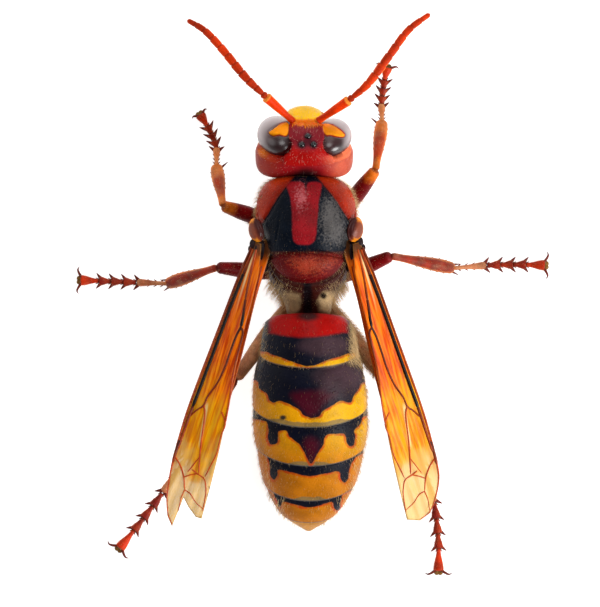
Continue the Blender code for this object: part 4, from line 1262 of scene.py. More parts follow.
@dataclass
class Thorax:
    """The thorax with its plates, from the collar to the waist, and the waist itself."""

    effects: Effects
    sections: tuple[tuple[float, ...], ...] = (
        (-9.6, 1.3, 7.3, 5.0), (-9.4, 2.3, 8.2, 4.2), (-8.9, 3.2, 8.9, 3.7), (-7.9, 3.8, 9.6, 3.3),
        (-6.6, 4.04, 10.15, 3.0), (-5.0, 3.85, 10.4, 2.8), (-3.5, 3.5, 10.15, 2.8), (-2.3, 3.2, 10.05, 2.9),
        (-1.2, 3.0, 9.3, 3.1), (-0.4, 2.5, 8.6, 3.4), (0.2, 2.1, 7.9, 3.8), (0.85, 1.85, 7.2, 4.2),
        (1.3, 1.75, 6.7, 4.5), (1.5, 1.6, 6.5, 4.6), (1.72, 1.0, 6.2, 4.9))
    box: float = 2.25
    middle: float = 0.48
    mids: Spot = (0.6, 0.32)
    collar: tuple[Spot, ...] = (
        (0.0, -9.62), (0.82, -9.56), (1.3, -9.0), (2.3, -7.7), (3.14, -6.36), (3.6, -5.7))
    collar_outside: tuple[Spot, ...] = ((4.6, -5.9), (4.8, -7.5), (3.6, -9.3), (2.4, -10.2), (0.0, -10.2))
    side_seams: tuple[tuple[Spot, ...], ...] = (
        ((-7.9, 7.6), (-7.2, 6.4), (-7.5, 4.9), (-7.0, 3.4)),
        ((-6.0, 8.4), (-5.4, 6.4), (-4.4, 5.2), (-3.6, 3.0)),
        ((-3.2, 8.6), (-2.6, 6.6), (-2.1, 4.6), (-1.6, 3.4)),
        ((-7.2, 6.4), (-5.4, 6.4)))
    crimson: tuple[Spot, ...] = (
        (2.12, -8.9), (1.95, -8.2), (1.74, -7.48), (1.66, -6.0), (1.6, -4.6), (1.3, -4.12), (0.7, -4.0),
        (0.1, -4.12), (-0.2, -4.6), (-0.35, -6.0), (-0.46, -7.48), (-0.62, -8.2), (-0.7, -8.84),
        (-0.3, -9.02), (0.3, -9.0), (0.46, -8.8), (0.56, -8.2), (0.68, -8.8), (0.9, -9.02), (1.6, -9.06))
    scutellum: tuple[Spot, ...] = (
        (2.85, -3.3), (3.3, -2.95), (3.35, -2.5), (3.05, -2.05), (2.4, -1.55), (1.5, -1.15), (0.6, -1.0),
        (-0.4, -1.12), (-1.3, -1.5), (-2.05, -2.05), (-2.4, -2.6), (-2.4, -3.0), (-2.1, -3.3), (0.4, -3.36))
    # Painted highlight: speckled salmon glints in the middle of the scutellum, where its hairs catch the
    # light; more hairs grow there too.
    grain: tuple[Spot, ...] = (
        (1.8, -2.95), (1.5, -2.3), (0.9, -1.8), (-0.5, -1.8), (-1.3, -2.3), (-1.9, -2.95))
    # Painted sheen: a grey, streaky patch where the scutum's black right side catches the light.
    sheen: tuple[Spot, ...] = (
        (-0.9, -7.4), (-1.7, -7.6), (-2.2, -6.6), (-2.5, -5.2), (-2.4, -4.2), (-1.2, -4.4), (-0.7, -5.6))
    waist_path: tuple[Spot, ...] = ((0.7, 5.5), (1.2, 5.62), (1.6, 5.75), (2.0, 5.95), (2.5, 6.15))
    waist_radii: tuple[float, ...] = (0.95, 0.62, 0.5, 0.52, 0.62)

    def _sculpt(self, across: np.ndarray, y: np.ndarray, height: np.ndarray, top: np.ndarray) -> np.ndarray:
        """Return how far each point is raised for the plates, seams and furrows.

        Args:
            across: distances to the left of the middle plane.
            y: places along the body.
            height: heights above the floor.
            top: 1 on the back and 0 on the underside.

        Returns:
            Rises in millimetres, negative for seams.
        """
        spots = np.stack([np.abs(across), y], axis=-1).reshape(-1, 2)
        seam = line_distance(spots, smooth_path(self.collar, 30)).reshape(y.shape)
        lift = -0.2 * np.exp(-((seam / 0.14) ** 2)) * top
        back = -3.42 + 0.05 * across**2 * (np.abs(across) < 3)
        lift -= 0.26 * np.exp(-(((y - back) / 0.16) ** 2)) * top
        rear = -1.02 - 0.75 * (across / 2.9) ** 2 - 0.7 * (across / 2.9) ** 6
        lift -= 0.3 * np.exp(-(((y - rear) / 0.16) ** 2)) * top
        lift -= 0.16 * np.exp(-(((y - rear - 0.6) / 0.12) ** 2)) * top
        lift += 0.12 * np.exp(-(((y - (rear + back) / 2) / 0.7) ** 2)) * np.exp(-((across / 1.9) ** 2)) * top
        notch = np.exp(-((across / 0.07) ** 2))
        lift -= 0.09 * notch * ease(-9.5, -9.2, y) * ease(-7.2, -8.0, y) * top
        lift -= 0.05 * notch * ease(-3.3, -3.1, y) * ease(-1.2, -1.6, y) * top
        line = 2.08 + 0.19 * (y + 6.4)
        groove = np.exp(-(((np.abs(across) - line) / 0.06) ** 2))
        lift -= 0.07 * groove * ease(-6.8, -6.2, y) * ease(-3.8, -4.2, y) * top
        furrow = np.exp(-((across / 0.42) ** 2)) * ease(-0.7, 0.1, y)
        lift -= 0.3 * furrow * top
        wing = np.exp(-(((np.abs(across) - 3.5) / 0.5) ** 2) - ((y + 4.4) / 1.1) ** 2)
        lift -= 0.25 * wing * top
        flank = np.stack([y, height], axis=-1).reshape(-1, 2)
        side = ease(1.6, 2.4, np.abs(across))
        for path in self.side_seams:
            near = line_distance(flank, smooth_path(path, 16)).reshape(y.shape)
            lift -= 0.16 * np.exp(-((near / 0.1) ** 2)) * side
        lift -= 0.2 * np.exp(-((across / 0.12) ** 2)) * (1 - top)
        return lift

    def build(self) -> bpy.types.Mesh:
        """Build the thorax's skin with its markings and the lie of its hairs."""
        table = np.array(self.sections)
        first, last = table[0, 0], table[-1, 0]
        y = first + (last - first) * 0.5 * (1 - np.cos(math.pi * np.linspace(0, 1, 231)))
        width, top, bottom = (Profile(tuple(zip(table[:, 0], table[:, k])))(y) for k in (1, 2, 3))
        centre = bottom + self.middle * (top - bottom)
        mid = self.mids[0] + (self.mids[1] - self.mids[0]) * (y - first) / (last - first)
        rows = body_rows(np.stack([mid, y, centre], axis=1), width, top - centre, centre - bottom, self.box,
                         260, np.zeros(len(y)))
        across = rows[..., 0] - mid[:, None]
        over = rows[..., 2] - centre[:, None]
        upper = ease(-0.6, 0.6, over)
        lift = self._sculpt(across, rows[..., 1], rows[..., 2], upper)
        half = 0.5 * (top - bottom)[:, None]
        slope = np.stack([across / width[:, None] ** 2, 0 * across, over / half**2], axis=-1)
        away = slope / np.maximum(np.linalg.norm(slope, axis=-1)[..., None], 1e-9)
        fade = ease(0.0, 0.06, (y - first) / (last - first)) * ease(1.0, 0.94, (y - first) / (last - first))
        rows = rows + away * (lift * fade[:, None])[..., None]
        mesh = grid_mesh("thorax_skin", rows, island=(0, 0, 1, 0.9))
        self._mark(mesh)
        share = np.linspace(0, 1, 25)
        path = smooth_path([(self.mids[1], at, z) for at, z in self.waist_path], 24)
        waist = tube_mesh("waist", path, spread(self.waist_radii, share), 40, island=(0, 0.92, 1, 1))
        neck = tube_mesh("neck", smooth_path([(0.6, -9.0, 6.2), (0.6, -10.75, 5.9)], 12),
                         0.9 + 0.05 * np.cos(np.linspace(0, 18, 13)), 40, island=(0, 0.91, 1, 0.92))
        for piece in (waist, neck):
            for name in ("collar", "scutum", "crimson", "scutellum", "tan", "belly", "pit", "grain", "sheen",
                         "stripe_highlight", "keel", "collar_edge_glow"):
                set_value(piece, name, -1.0)
            comb(piece, 0.15, 0.6, (0.0, 0.8, 0.0), 0.4)
        return joined("thorax", [mesh, waist, neck])

    def _mark(self, mesh: bpy.types.Mesh) -> None:
        """State the thorax's markings and hairs on its skin."""
        world = read_points(mesh)
        normal = read_normals(mesh)
        mid = self.mids[0] + (self.mids[1] - self.mids[0]) * (world[:, 1] + 9.6) / 10.7
        across = world[:, 0] - mid
        spots = world[:, :2]
        folded = np.stack([np.abs(across), world[:, 1]], axis=1)
        up = normal[:, 2]
        collar = region(folded, [*smooth_path(self.collar, 30).tolist(), *self.collar_outside])
        flank = ease(3.9, 4.6, world[:, 2]) * 2 - 1
        set_value(mesh, "collar", np.minimum(collar, flank))
        shield = ((0.0, -9.6), *self.collar[1:], (3.5, -5.0), (3.3, -4.0), (2.9, -3.5), (0.0, -3.5))
        set_value(mesh, "scutum", np.where(up > 0, region(folded, shield), -1.0))
        for name, outline in (("crimson", self.crimson), ("scutellum", self.scutellum), ("grain", self.grain),
                              ("sheen", self.sheen)):
            set_value(mesh, name, np.where(up > 0, region(spots, rounded(outline, 4)), -1.0))
        patches = np.max([0.8 - np.hypot((spots[:, 0] - x) / 0.95, (spots[:, 1] - 0.6) / 1.1)
                          for x in (1.75, -1.2)], axis=0)
        set_value(mesh, "tan", np.where(up > -0.3, patches, -1.0))
        set_value(mesh, "belly", 3.7 - world[:, 2])
        set_value(mesh, "pit", 0.24 - np.hypot(spots[:, 0] + 0.84, spots[:, 1] - 0.02))
        # Partly pale hairs, partly painted highlight: a paler streak on the left crimson stripe, towards its
        # front.
        set_value(mesh, "stripe_highlight", 0.4 - np.hypot((spots[:, 0] - 0.95) / 0.8, (spots[:, 1] + 7.8) / 1.8))
        set_value(mesh, "keel", np.where(world[:, 1] > -1.0, 0.34 - np.abs(spots[:, 0] - 0.42), -1.0))
        # Painted glow: the collar turns brighter orange where its shell turns sideways, as if light shone
        # through its edges.
        set_value(mesh, "collar_edge_glow", np.minimum(get_value(mesh, "collar"), side_glow(mesh, 0.8)))
        y = world[:, 1]
        edge = np.exp(-(((y + 3.42) / 0.14) ** 2)) * (up > 0.2)
        rear = ease(-1.6, -0.9, y)
        outer = ease(0.9, 2.2, np.abs(across))
        side = ease(0.35, -0.1, up)
        bib = ease(-7.4, -8.6, y) * side
        keel = get_value(mesh, "keel")
        density = 0.2 + 0.5 * edge + rear * (0.1 + 0.6 * outer) + 0.5 * side + 0.4 * bib
        density *= 1 - 0.55 * ease(0.0, 0.2, get_value(mesh, "scutum")) * (1 - edge)
        density *= 1 - 0.9 * ease(-0.1, 0.1, keel)
        density = (density + 0.3 * (get_value(mesh, "grain") > 0)) * ease(1.1, 0.4, y)
        length = 0.26 + rear * (0.15 + 0.75 * outer) + 0.85 * side + 0.2 * edge
        tone = 0.25 - 0.15 * rear - 0.2 * side
        aside = 0.35 * np.sign(across) * np.maximum(side, rear)
        lie = np.stack([aside, 0.95 - 0.3 * side, -0.3 * side], axis=1)
        comb(mesh, np.clip(density, 0, 1), length, lie, tone)

    def finish(self) -> bpy.types.Material:
        """Return the finish of the thorax: black plates with red and crimson areas."""
        return ShellFinish("thorax_shell", (0.035, 0.006, 0.004), (
            Marking("tan", (0.4, 0.28, 0.14), 0.3, 0.3, 1500, 0.9),
            Marking("keel", (0.006, 0.003, 0.004), 0.16, 0.12, 1500),
            Marking("scutum", (0.0008, 0.003, 0.008), 0.08, 0.03),
            # painted sheen on the scutum's right side
            Marking("sheen", (0.11, 0.1, 0.095), 0.6, 1.5, 6000, 0.7),
            Marking("crimson", (0.24, 0.005, 0.009), 0.1, 0.08, 1300),
            # painted highlight, with pale hairs, on the left crimson stripe
            Marking("stripe_highlight", (0.5, 0.14, 0.15), 0.4, 1.2, 6000, 0.55),
            Marking("collar", (0.28, 0.012, 0.002), 0.08, 0.05),
            # painted glow on the collar's turned edges
            Marking("collar_edge_glow", (0.5, 0.05, 0.002), 0.16, 0.06, 1600, 0.35),
            Marking("scutellum", (0.1, 0.002, 0.003), 0.12, 0.08),
            # painted highlight: speckled glints on the scutellum
            Marking("grain", (0.36, 0.045, 0.018), 0.4, 1.2, 6000, 0.6),
            Marking("belly", (0.05, 0.014, 0.008), 0.5, 0.3, 700, 0.8),
            Marking("pit", (0.004, 0.003, 0.003), 0.12, 0.02),
        ), pits=0.9, pit_scale=4200.0, relief=0.05, clouds=0.22, specular=0.08).make(self.effects)


# Gaster

@dataclass(frozen=True)
class Band:
    """One ring's dark band: its plan outline, and the maroon or red area inside it."""

    outline: tuple[Spot, ...]
    inner: tuple[Spot, ...] = ()


BANDS = (
    Band(((9.0, 1.0), (9.0, 4.55), (4.13, 4.47), (3.38, 4.67), (2.51, 4.94), (1.48, 5.34), (0.54, 5.62),
          (-0.02, 5.58), (-0.5, 5.42), (-1.29, 5.1), (-2.47, 4.78), (-3.34, 4.59), (-8.0, 4.5), (-8.0, 1.0)),
         ((9.0, 2.9), (3.86, 2.97), (1.95, 3.25), (0.3, 3.32), (-1.68, 3.09), (-2.94, 2.93), (-8.0, 2.9),
          (-8.0, 0.0), (9.0, 0.0))),
    Band(((9.0, 4.0), (9.0, 6.5), (4.8, 6.68), (4.33, 7.4), (3.7, 7.79), (3.5, 8.3), (3.14, 8.54),
          (2.66, 8.42), (2.11, 8.54), (1.48, 8.86), (1.01, 9.14), (0.77, 9.53), (0.14, 9.73),
          (-0.5, 9.61), (-0.89, 9.14), (-1.68, 8.66), (-2.31, 8.38), (-3.02, 8.54), (-3.26, 8.02),
          (-3.66, 7.47), (-4.29, 6.84), (-8.0, 6.6), (-8.0, 4.0)),
         ((1.7, 7.9), (1.0, 8.9), (0.5, 9.5), (0.1, 9.65), (-0.4, 9.4), (-0.9, 8.8), (-1.9, 7.8), (-0.4, 7.5),
          (0.8, 7.6))),
    Band(((9.0, 8.8), (9.0, 9.75), (4.25, 9.91), (3.58, 10.5), (3.6, 11.3), (3.45, 11.8), (3.18, 11.89),
          (2.85, 11.75), (2.76, 11.2), (2.72, 10.82), (2.11, 10.78), (1.91, 11.22), (1.48, 11.53),
          (1.09, 11.85), (0.77, 12.32), (0.46, 12.95), (0.18, 13.39), (-0.1, 13.11), (-0.42, 12.48),
          (-0.81, 11.93), (-0.89, 11.46), (-1.21, 11.06), (-2.0, 11.02), (-2.55, 11.06), (-2.66, 11.7),
          (-2.95, 12.04), (-3.3, 11.9), (-3.38, 11.3), (-3.34, 10.74), (-3.82, 10.26), (-4.37, 9.55),
          (-8.0, 9.4), (-8.0, 8.8)),
         ((0.75, 11.7), (0.45, 12.6), (0.18, 13.2), (-0.1, 12.9), (-0.45, 12.1), (-0.5, 11.6), (0.1, 11.3))),
    Band(((9.0, 12.0), (9.0, 12.3), (4.41, 12.4), (3.62, 13.0), (3.46, 13.5), (3.42, 14.3), (3.1, 14.74),
          (2.8, 14.35), (2.72, 13.92), (1.5, 14.15), (0.3, 14.42), (-0.9, 14.22), (-2.08, 14.04),
          (-2.18, 14.55), (-2.5, 14.97), (-2.84, 14.6), (-2.94, 13.82), (-3.98, 12.64), (-8.0, 12.5),
          (-8.0, 12.0))),
    Band(((9.0, 14.9), (9.0, 15.1), (3.86, 15.25), (3.06, 16.12), (2.84, 16.4), (2.8, 16.75), (2.66, 16.98),
          (2.5, 16.78), (2.35, 16.51), (1.32, 16.75), (0.38, 16.94), (-0.5, 16.79), (-1.52, 16.51),
          (-1.7, 17.0), (-1.94, 17.22), (-2.2, 17.0), (-2.3, 16.28), (-3.02, 15.64), (-8.0, 15.4),
          (-8.0, 14.9))),
)


@dataclass(frozen=True)
class GasterRing:
    """One ring of the gaster: its rear edge as y, z, half-width, half-height and pitch, and its rise."""

    edge: tuple[float, float, float, float, float]
    mid: float
    swell: float
    rows: int


@dataclass
class Gaster:
    """The six overlapping rings of the gaster, as one skin with a lip at each rear edge."""

    effects: Effects
    front: tuple[tuple[float, ...], ...] = (
        (2.1, 6.2, 1.0, 1.0, -10.0), (1.8, 6.4, 2.1, 2.15, -10.0), (1.72, 6.5, 2.85, 2.85, -8.0),
        (2.15, 6.5, 3.4, 3.3, -2.0), (3.2, 6.5, 3.66, 3.55, 6.0))
    rings: tuple[GasterRing, ...] = (
        GasterRing((4.84, 6.4, 3.84, 3.65, 15.0), 0.36, 0.0, 34),
        GasterRing((9.24, 5.2, 4.56, 4.05, 18.5), 0.22, 0.3, 48),
        GasterRing((12.42, 4.25, 4.24, 3.6, 19.5), 0.18, 0.08, 36),
        GasterRing((15.4, 3.3, 3.44, 2.78, 22.0), 0.24, 0.08, 34),
        GasterRing((17.5, 2.62, 2.05, 1.76, 24.0), 0.33, 0.05, 28),
        GasterRing((18.8, 2.1, 0.28, 0.3, 24.0), 0.33, 0.0, 26))
    first_mid: float = 0.4
    sides: int = 300
    box: float = 2.08
    lip: float = 0.05
    step: float = 0.07
    bow: Profile = Profile(((1.7, 0.0), (3.2, 0.0), (4.84, 0.15), (9.24, 0.4), (12.42, 0.45), (15.4, 0.4),
                            (17.5, 0.1), (18.8, 0.0)))
    plate_edge: float = -12.0
    plate_lengths: tuple[float, ...] = (0.0, 2.7, 4.4, 3.2, 2.9, 2.1, 1.4)
    half_widths: tuple[float, ...] = (1.0, 3.8, 4.5, 4.2, 3.4, 2.1, 1.0)
    # Painted sheen: soft grey-purple patches on the black bands of the first two rings, on the -X side.
    band_sheens: tuple[tuple[float, ...], ...] = ((-1.1, 4.0, 2.0, 0.8), (-2.3, 6.5, 1.9, 1.5))

    def build(self) -> bpy.types.Mesh:
        """Build the gaster's skin with its bands, rear edges and the lie of its hairs."""
        stations = np.array([*self.front[3:], *(ring.edge for ring in self.rings)])
        curves = [Profile(tuple(zip(stations[:, 0], stations[:, k]))) for k in range(1, 5)]
        mids = Profile(((self.front[0][0], self.first_mid), *((r.edge[0], r.mid) for r in self.rings[:5])))
        table, number, inside, to_edge = [], [], [], []
        nose = smooth_path([(s[0], s[1], s[2]) for s in self.front[:4]], 14)[:-1]
        tall = smooth_path([(s[3], s[4], s[2]) for s in self.front[:4]], 14)[:-1]
        for spot, rise in zip(nose, tall):
            table.append((self.first_mid, spot[0], spot[1], spot[2], rise[0], rise[1]))
            number.append(1)
            inside.append(0.0)
            to_edge.append(3.0)
        start = self.front[3][0]
        for index, ring in enumerate(self.rings):
            end = ring.edge[0]
            last = index == len(self.rings) - 1
            share = np.linspace(0, 1, ring.rows) ** 0.9
            for part in share:
                y = start + (end - start) * part
                grow = (0.0 if last else self.lip * part**3) + ring.swell * math.sin(math.pi * part**0.7)
                grow -= self.step * (1 - part) if index else 0.0
                grow -= 0.0 if last else 0.04 * float(ease(0.985, 1.0, np.array(part)))
                z, wide, high, pitch = (float(curve(y)) for curve in curves)
                wide = float(curves[1](y - float(self.bow(y))))
                table.append((float(mids(y)), y, z, wide + grow, high + grow, pitch))
                number.append(index + 1)
                inside.append(part)
                to_edge.append(9.0 if last else end - y)
            start = end + 0.03
        table = np.array(table)
        width, height, pitch = table[:, 3:].T
        rows = body_rows(table[:, :3], width, height, height, self.box, self.sides, pitch)
        angle = 360 * np.arange(self.sides) / self.sides
        rows[..., 1] -= self.bow(table[:, 1])[:, None] * np.cos(np.radians(angle)) ** 2
        below = np.minimum(angle - (180 - self.plate_edge), 360 + self.plate_edge - angle)
        under = ease(0.0, 2.5, below)
        core = table[:, None, :3]
        body = (np.array(inside) > 0)[:, None] * (np.array(number) < 6)[:, None]
        rows = rows + (core - rows) * (0.035 * under[None, :] * body)[..., None]
        wide = {"ring": np.repeat(np.array(number, float)[:, None], self.sides, axis=1),
                "inside": np.repeat(np.array(inside)[:, None], self.sides, axis=1),
                "to_edge": np.repeat(np.array(to_edge)[:, None], self.sides, axis=1),
                "under": np.repeat(under[None, :], len(table), axis=0)}
        mesh = grid_mesh("gaster", rows, extra=wide)
        self._mark(mesh)
        return mesh

    def _mark(self, mesh: bpy.types.Mesh) -> None:
        """State the bands and hairs on the gaster's skin."""
        world = read_points(mesh)
        spots = world[:, :2]
        ring, inside, to_edge = (get_value(mesh, name) for name in ("ring", "inside", "to_edge"))
        under = get_value(mesh, "under")
        band, inner, red = (np.full(len(spots), -1.0) for _ in range(3))
        for number, entry in enumerate(BANDS, start=1):
            here = ring == number
            band[here] = region(spots[here], rounded(entry.outline, 3))
            if number == 1:
                red[here] = np.minimum(region(spots[here], rounded(entry.inner, 3)),
                                       0.5 * (3.1 - np.abs(spots[here][:, 0] - 0.35)))
            elif entry.inner:
                inner[here] = region(spots[here], rounded(entry.inner, 3))
        length = np.array(self.plate_lengths)[ring.astype(int)]
        x, y = world[:, 0] - 0.25, world[:, 1]
        across = np.abs(x) / np.array(self.half_widths)[ring.astype(int)]
        plate = (0.34 - 0.16 * np.exp(-(((across - 0.42) / 0.16) ** 2)) + 0.1 * across - inside) * length
        band = band * (1 - under) + plate * under
        band = np.where((ring == 1) & (under > 0.5), 0.6 - inside, band)
        band = np.where(ring == 6, -1.0, band)
        set_value(mesh, "band", band)
        set_value(mesh, "rust", 0.07 - np.abs(band + 0.07))
        middle = np.where(ring == 2, ease(0.85, 0.5, across), ease(0.5, 0.15, across))
        strip = np.where((ring > 1) & (ring < 5), 0.42 * middle - to_edge, -1.0)
        # Painted shadow: a thin blue-black line along each ring's rear edge, where it overlaps the next.
        hem = np.where(ring < 6, 0.1 * ease(1.15, 0.9, across) - to_edge, -1.0)
        # sunny is painted light: the rings are painted lighter and yellower towards the -X side.
        for name, values in (("maroon", inner), ("front_red", red), ("strip", strip), ("hem", hem),
                             ("sunny", -x - 0.6)):
            set_value(mesh, name, np.where(under < 0.5, values, -1.0))
        set_value(mesh, "dimple", 0.2 - np.hypot((spots[:, 0] - 2.38) / 1.3, spots[:, 1] - 9.72))
        set_value(mesh, "flank", (across - 0.72) * 3)
        set_value(mesh, "tail", ring - 5.5)
        # Painted sheen on the black bands, as set out in the sheen patches above.
        band_sheen = np.max([1 - np.hypot((spots[:, 0] - at) / wide, (y - along) / long)
                        for at, along, wide, long in self.band_sheens], axis=0)
        set_value(mesh, "band_sheen", np.minimum(band_sheen, 3 * band))
        set_value(mesh, "dusk", y - 12.0)
        set_value(mesh, "front_pit", 0.5 - np.hypot((spots[:, 0] - 0.35) / 1.8, (spots[:, 1] - 1.62) / 0.8))
        grow = 0.12 + 0.08 * (ring > 2) + 0.6 * under + 0.4 * ease(0.5, 1.0, across)
        grow = np.where(ring == 6, 0.8, grow + 0.25 * ease(0.6, 1.0, inside))
        length = 0.45 + 0.35 * under + 0.1 * (ring >= 5) + 0.15 * (ring == 1) + 0.45 * ease(0.7, 1.0, across)
        tone = np.where(band > 0, 0.75, 0.15) * ease(1.0, 0.8, across)
        fleece = ease(-2.7, -3.3, x) * ease(1.8, 2.4, y) * ease(5.9, 5.2, y) * (under < 0.5)
        comb(mesh, np.clip(grow, 0, 1) + 3.0 * fleece, length + 0.45 * fleece, (0.0, 1.15, -0.15),
             tone * (1 - fleece))

    def finish(self) -> bpy.types.Material:
        """Return the finish of the gaster: amber-yellow with blue-black bands and a red front."""
        return ShellFinish("banded_gaster_shell", (0.62, 0.265, 0.001), (
            Marking("flank", (0.52, 0.19, 0.001), 0.6, 0.3, 500, 0.8),
            # painted light on the -X side
            Marking("sunny", (0.62, 0.33, 0.001), 1.8, 0.7, 700, 0.85),
            Marking("dusk", (0.37, 0.098, 0.001), 2.4, 1.2, 700, 0.85),
            Marking("tail", (0.45, 0.19, 0.015), 0.4, 0.2, 900, 0.8),
            Marking("strip", (0.17, 0.12, 0.045), 0.06, 0.16, 1100, 0.85),
            # painted shadow along each ring's rear edge
            Marking("hem", (0.05, 0.055, 0.06), 0.05, 0.03, 2200, 0.85),
            Marking("rust", (0.42, 0.036, 0.001), 0.09, 0.16, 1500, 0.9),
            Marking("band", (0.0025, 0.003, 0.009), 0.05, 0.07, 2000),
            Marking("maroon", (0.048, 0.002, 0.008), 0.4, 0.3, 900, 0.9),
            # painted sheen on the black bands
            Marking("band_sheen", (0.05, 0.024, 0.03), 0.5, 0.35, 900, 0.8),
            Marking("front_red", (0.3, 0.002, 0.001), 0.16, 0.07, 1200),
            Marking("dimple", (0.03, 0.022, 0.015), 0.1, 0.03),
            Marking("front_pit", (0.03, 0.003, 0.003), 0.3, 0.1),
        ), pits=0.7, pit_scale=3800.0, relief=0.035, clouds=0.18, specular=0.08).make(self.effects)


# Tegulae and wings

@dataclass
class Tegulae:
    """The scales over the wing roots, and the dark hinge pieces beside them."""

    effects: Effects
    scales: dict[Side, tuple[float, ...]]
    knots: dict[Side, tuple[tuple[float, ...], ...]]

    def scale(self, side: Side) -> bpy.types.Mesh:
        """Build one scale: a shallow dome with a thin turned rim."""
        x, y, z, half_length, half_width, half_height, turn, roll = self.scales[side]
        unit = ball_rows(70, 90)[..., [2, 0, 1]]
        flat = np.hypot(unit[..., 0], unit[..., 1])
        rise = unit[..., 2] * (1 - 0.3 * np.exp(-(((flat - 0.9) / 0.07) ** 2)))
        rise = np.where(rise > 0, rise, rise * 0.55)
        local = np.stack([unit[..., 0] * half_width * (1 + 0.1 * unit[..., 1]), unit[..., 1] * half_length,
                          rise * half_height], axis=-1)
        place = (Matrix.Rotation(math.radians(turn), 3, "Z") @ Matrix.Rotation(math.radians(roll), 3, "Y"))
        mesh = grid_mesh("tegula", local @ np.array(place).T + (x, y, z),
                         extra={"scale_rim": np.minimum(flat - 0.7, 0.25 + unit[..., 0] * side.value),
                                "scale_heart": 0.55 - np.hypot(flat, 0.3),
                                "scale_root": -0.4 - unit[..., 0] * side.value - 0.2 * unit[..., 1]})
        comb(mesh, 1.0, 1.0, (0.0, 1.2, 0.0), 0.3)
        return mesh

    def hinge(self, side: Side) -> bpy.types.Mesh:
        """Build the small dark lumps where the wing is hinged."""
        lumps = []
        for x, y, z, long, wide in self.knots[side]:
            unit = ball_rows(16, 24)[..., [1, 0, 2]]
            lumps.append(grid_mesh("lump", unit * (wide, long, 0.6 * wide) + (x, y, z)))
        return joined("hinge", lumps)

    def finish(self) -> bpy.types.Material:
        """Return the finish of the scales: rust brown, amber at the outer rim and dark by the body."""
        return ShellFinish("tegula_shell", (0.2, 0.035, 0.012), (
            Marking("scale_heart", (0.2, 0.05, 0.025), 0.3, 0.1),
            Marking("scale_rim", (0.85, 0.26, 0.006), 0.14, 0.06, 1600, 0.9),
            Marking("scale_root", (0.03, 0.005, 0.006), 0.25, 0.2, 1600, 0.9),
        ), roughness=0.35, pits=0.6, coat=0.15).make(self.effects)


@dataclass(frozen=True)
class WingPlan:
    """Where one folded wing lies; its outlines and veins run in (along, across) millimetres."""

    root: Spot
    sweep: float
    side: Side
    length: float
    tip: tuple[Spot, ...]


@dataclass(frozen=True)
class Vein:
    """One vein: its path, its radius and its darkness at both ends (0 rust, 1 black)."""

    path: tuple[Spot, ...]
    radii: Spot
    burn: Spot
    sink: float = 0.0


VEINS = (
    Vein(((0.2, -0.42), (2.4, -0.7), (7.2, -1.04), (14.0, -1.49), (17.6, -1.52)), (0.11, 0.08), (0.75, 0.5)),
    Vein(((0.3, -0.25), (1.0, -0.28), (2.5, -0.42)), (0.11, 0.14), (0.55, 0.8)),
    Vein(((2.4, -0.41), (4.65, -0.6), (10.6, -0.98), (13.8, -1.21)), (0.15, 0.14), (0.9, 1.0)),
    Vein(((13.7, -1.2), (14.5, -1.25), (16.5, -1.33), (17.4, -1.36)), (0.13, 0.1), (0.75, 0.55)),
    Vein(((16.6, -1.4), (17.2, -1.45), (17.9, -1.45), (18.5, -1.42)), (0.14, 0.12), (0.85, 0.6)),
    Vein(((0.25, -0.01), (2.31, 0.12), (4.33, 0.33)), (0.08, 0.1), (0.55, 0.75)),
    Vein(((4.3, 0.33), (5.2, 0.47), (5.73, 0.56), (6.5, 0.62)), (0.1, 0.14), (0.75, 0.98)),
    Vein(((6.5, 0.62), (7.34, 0.47), (8.78, 0.39), (9.96, 0.34), (11.39, 0.12), (12.63, -0.31), (13.38, -0.4),
          (13.87, -0.81), (14.61, -1.25)), (0.1, 0.07), (0.85, 0.65)),
    Vein(((6.5, 0.62), (6.81, 0.89), (7.43, 0.97), (8.53, 1.01), (9.68, 1.07), (10.54, 1.16), (12.21, 1.44),
          (14.23, 1.69)), (0.09, 0.06), (0.8, 0.3)),
    Vein(((13.38, -0.4), (13.75, -0.17), (14.66, 0.03), (16.09, 0.25), (17.15, 0.46), (18.68, 0.82)),
         (0.07, 0.06), (0.5, 0.2)),
    Vein(((13.42, 1.14), (14.23, 1.69), (15.29, 1.64), (16.76, 1.72), (17.71, 1.56), (18.81, 1.38)),
         (0.06, 0.05), (0.3, 0.15)),
    Vein(((18.55, 0.26), (18.77, 0.77), (18.97, 1.36), (19.74, 1.75), (20.44, 1.89), (21.5, 2.0)),
         (0.06, 0.04), (0.2, 0.0)),
    Vein(((18.0, -1.37), (18.51, -0.8), (19.31, -0.26), (20.3, 0.12)), (0.07, 0.05), (0.3, 0.05)),
    Vein(((20.3, 0.12), (21.01, 0.04), (21.73, 0.11), (22.1, 0.14)), (0.05, 0.03), (0.0, 0.0)),
    Vein(((19.32, -0.23), (19.03, 0.18), (18.7, 0.82)), (0.05, 0.05), (0.05, 0.05)),
    Vein(((20.3, 0.12), (20.43, 0.61), (20.95, 1.21), (21.32, 1.96)), (0.05, 0.03), (0.0, 0.0)),
    Vein(((17.42, 0.5), (18.27, 0.17), (18.85, -0.07)), (0.045, 0.045), (0.1, 0.05)),
    Vein(((1.2, 0.45), (6.8, 0.75), (11.0, 1.0), (15.4, 0.95)), (0.08, 0.05), (0.7, 0.4), 0.85),
    Vein(((1.4, 0.8), (6.8, 1.2), (11.0, 1.35), (13.6, 1.35)), (0.06, 0.04), (0.6, 0.3), 0.85),
)


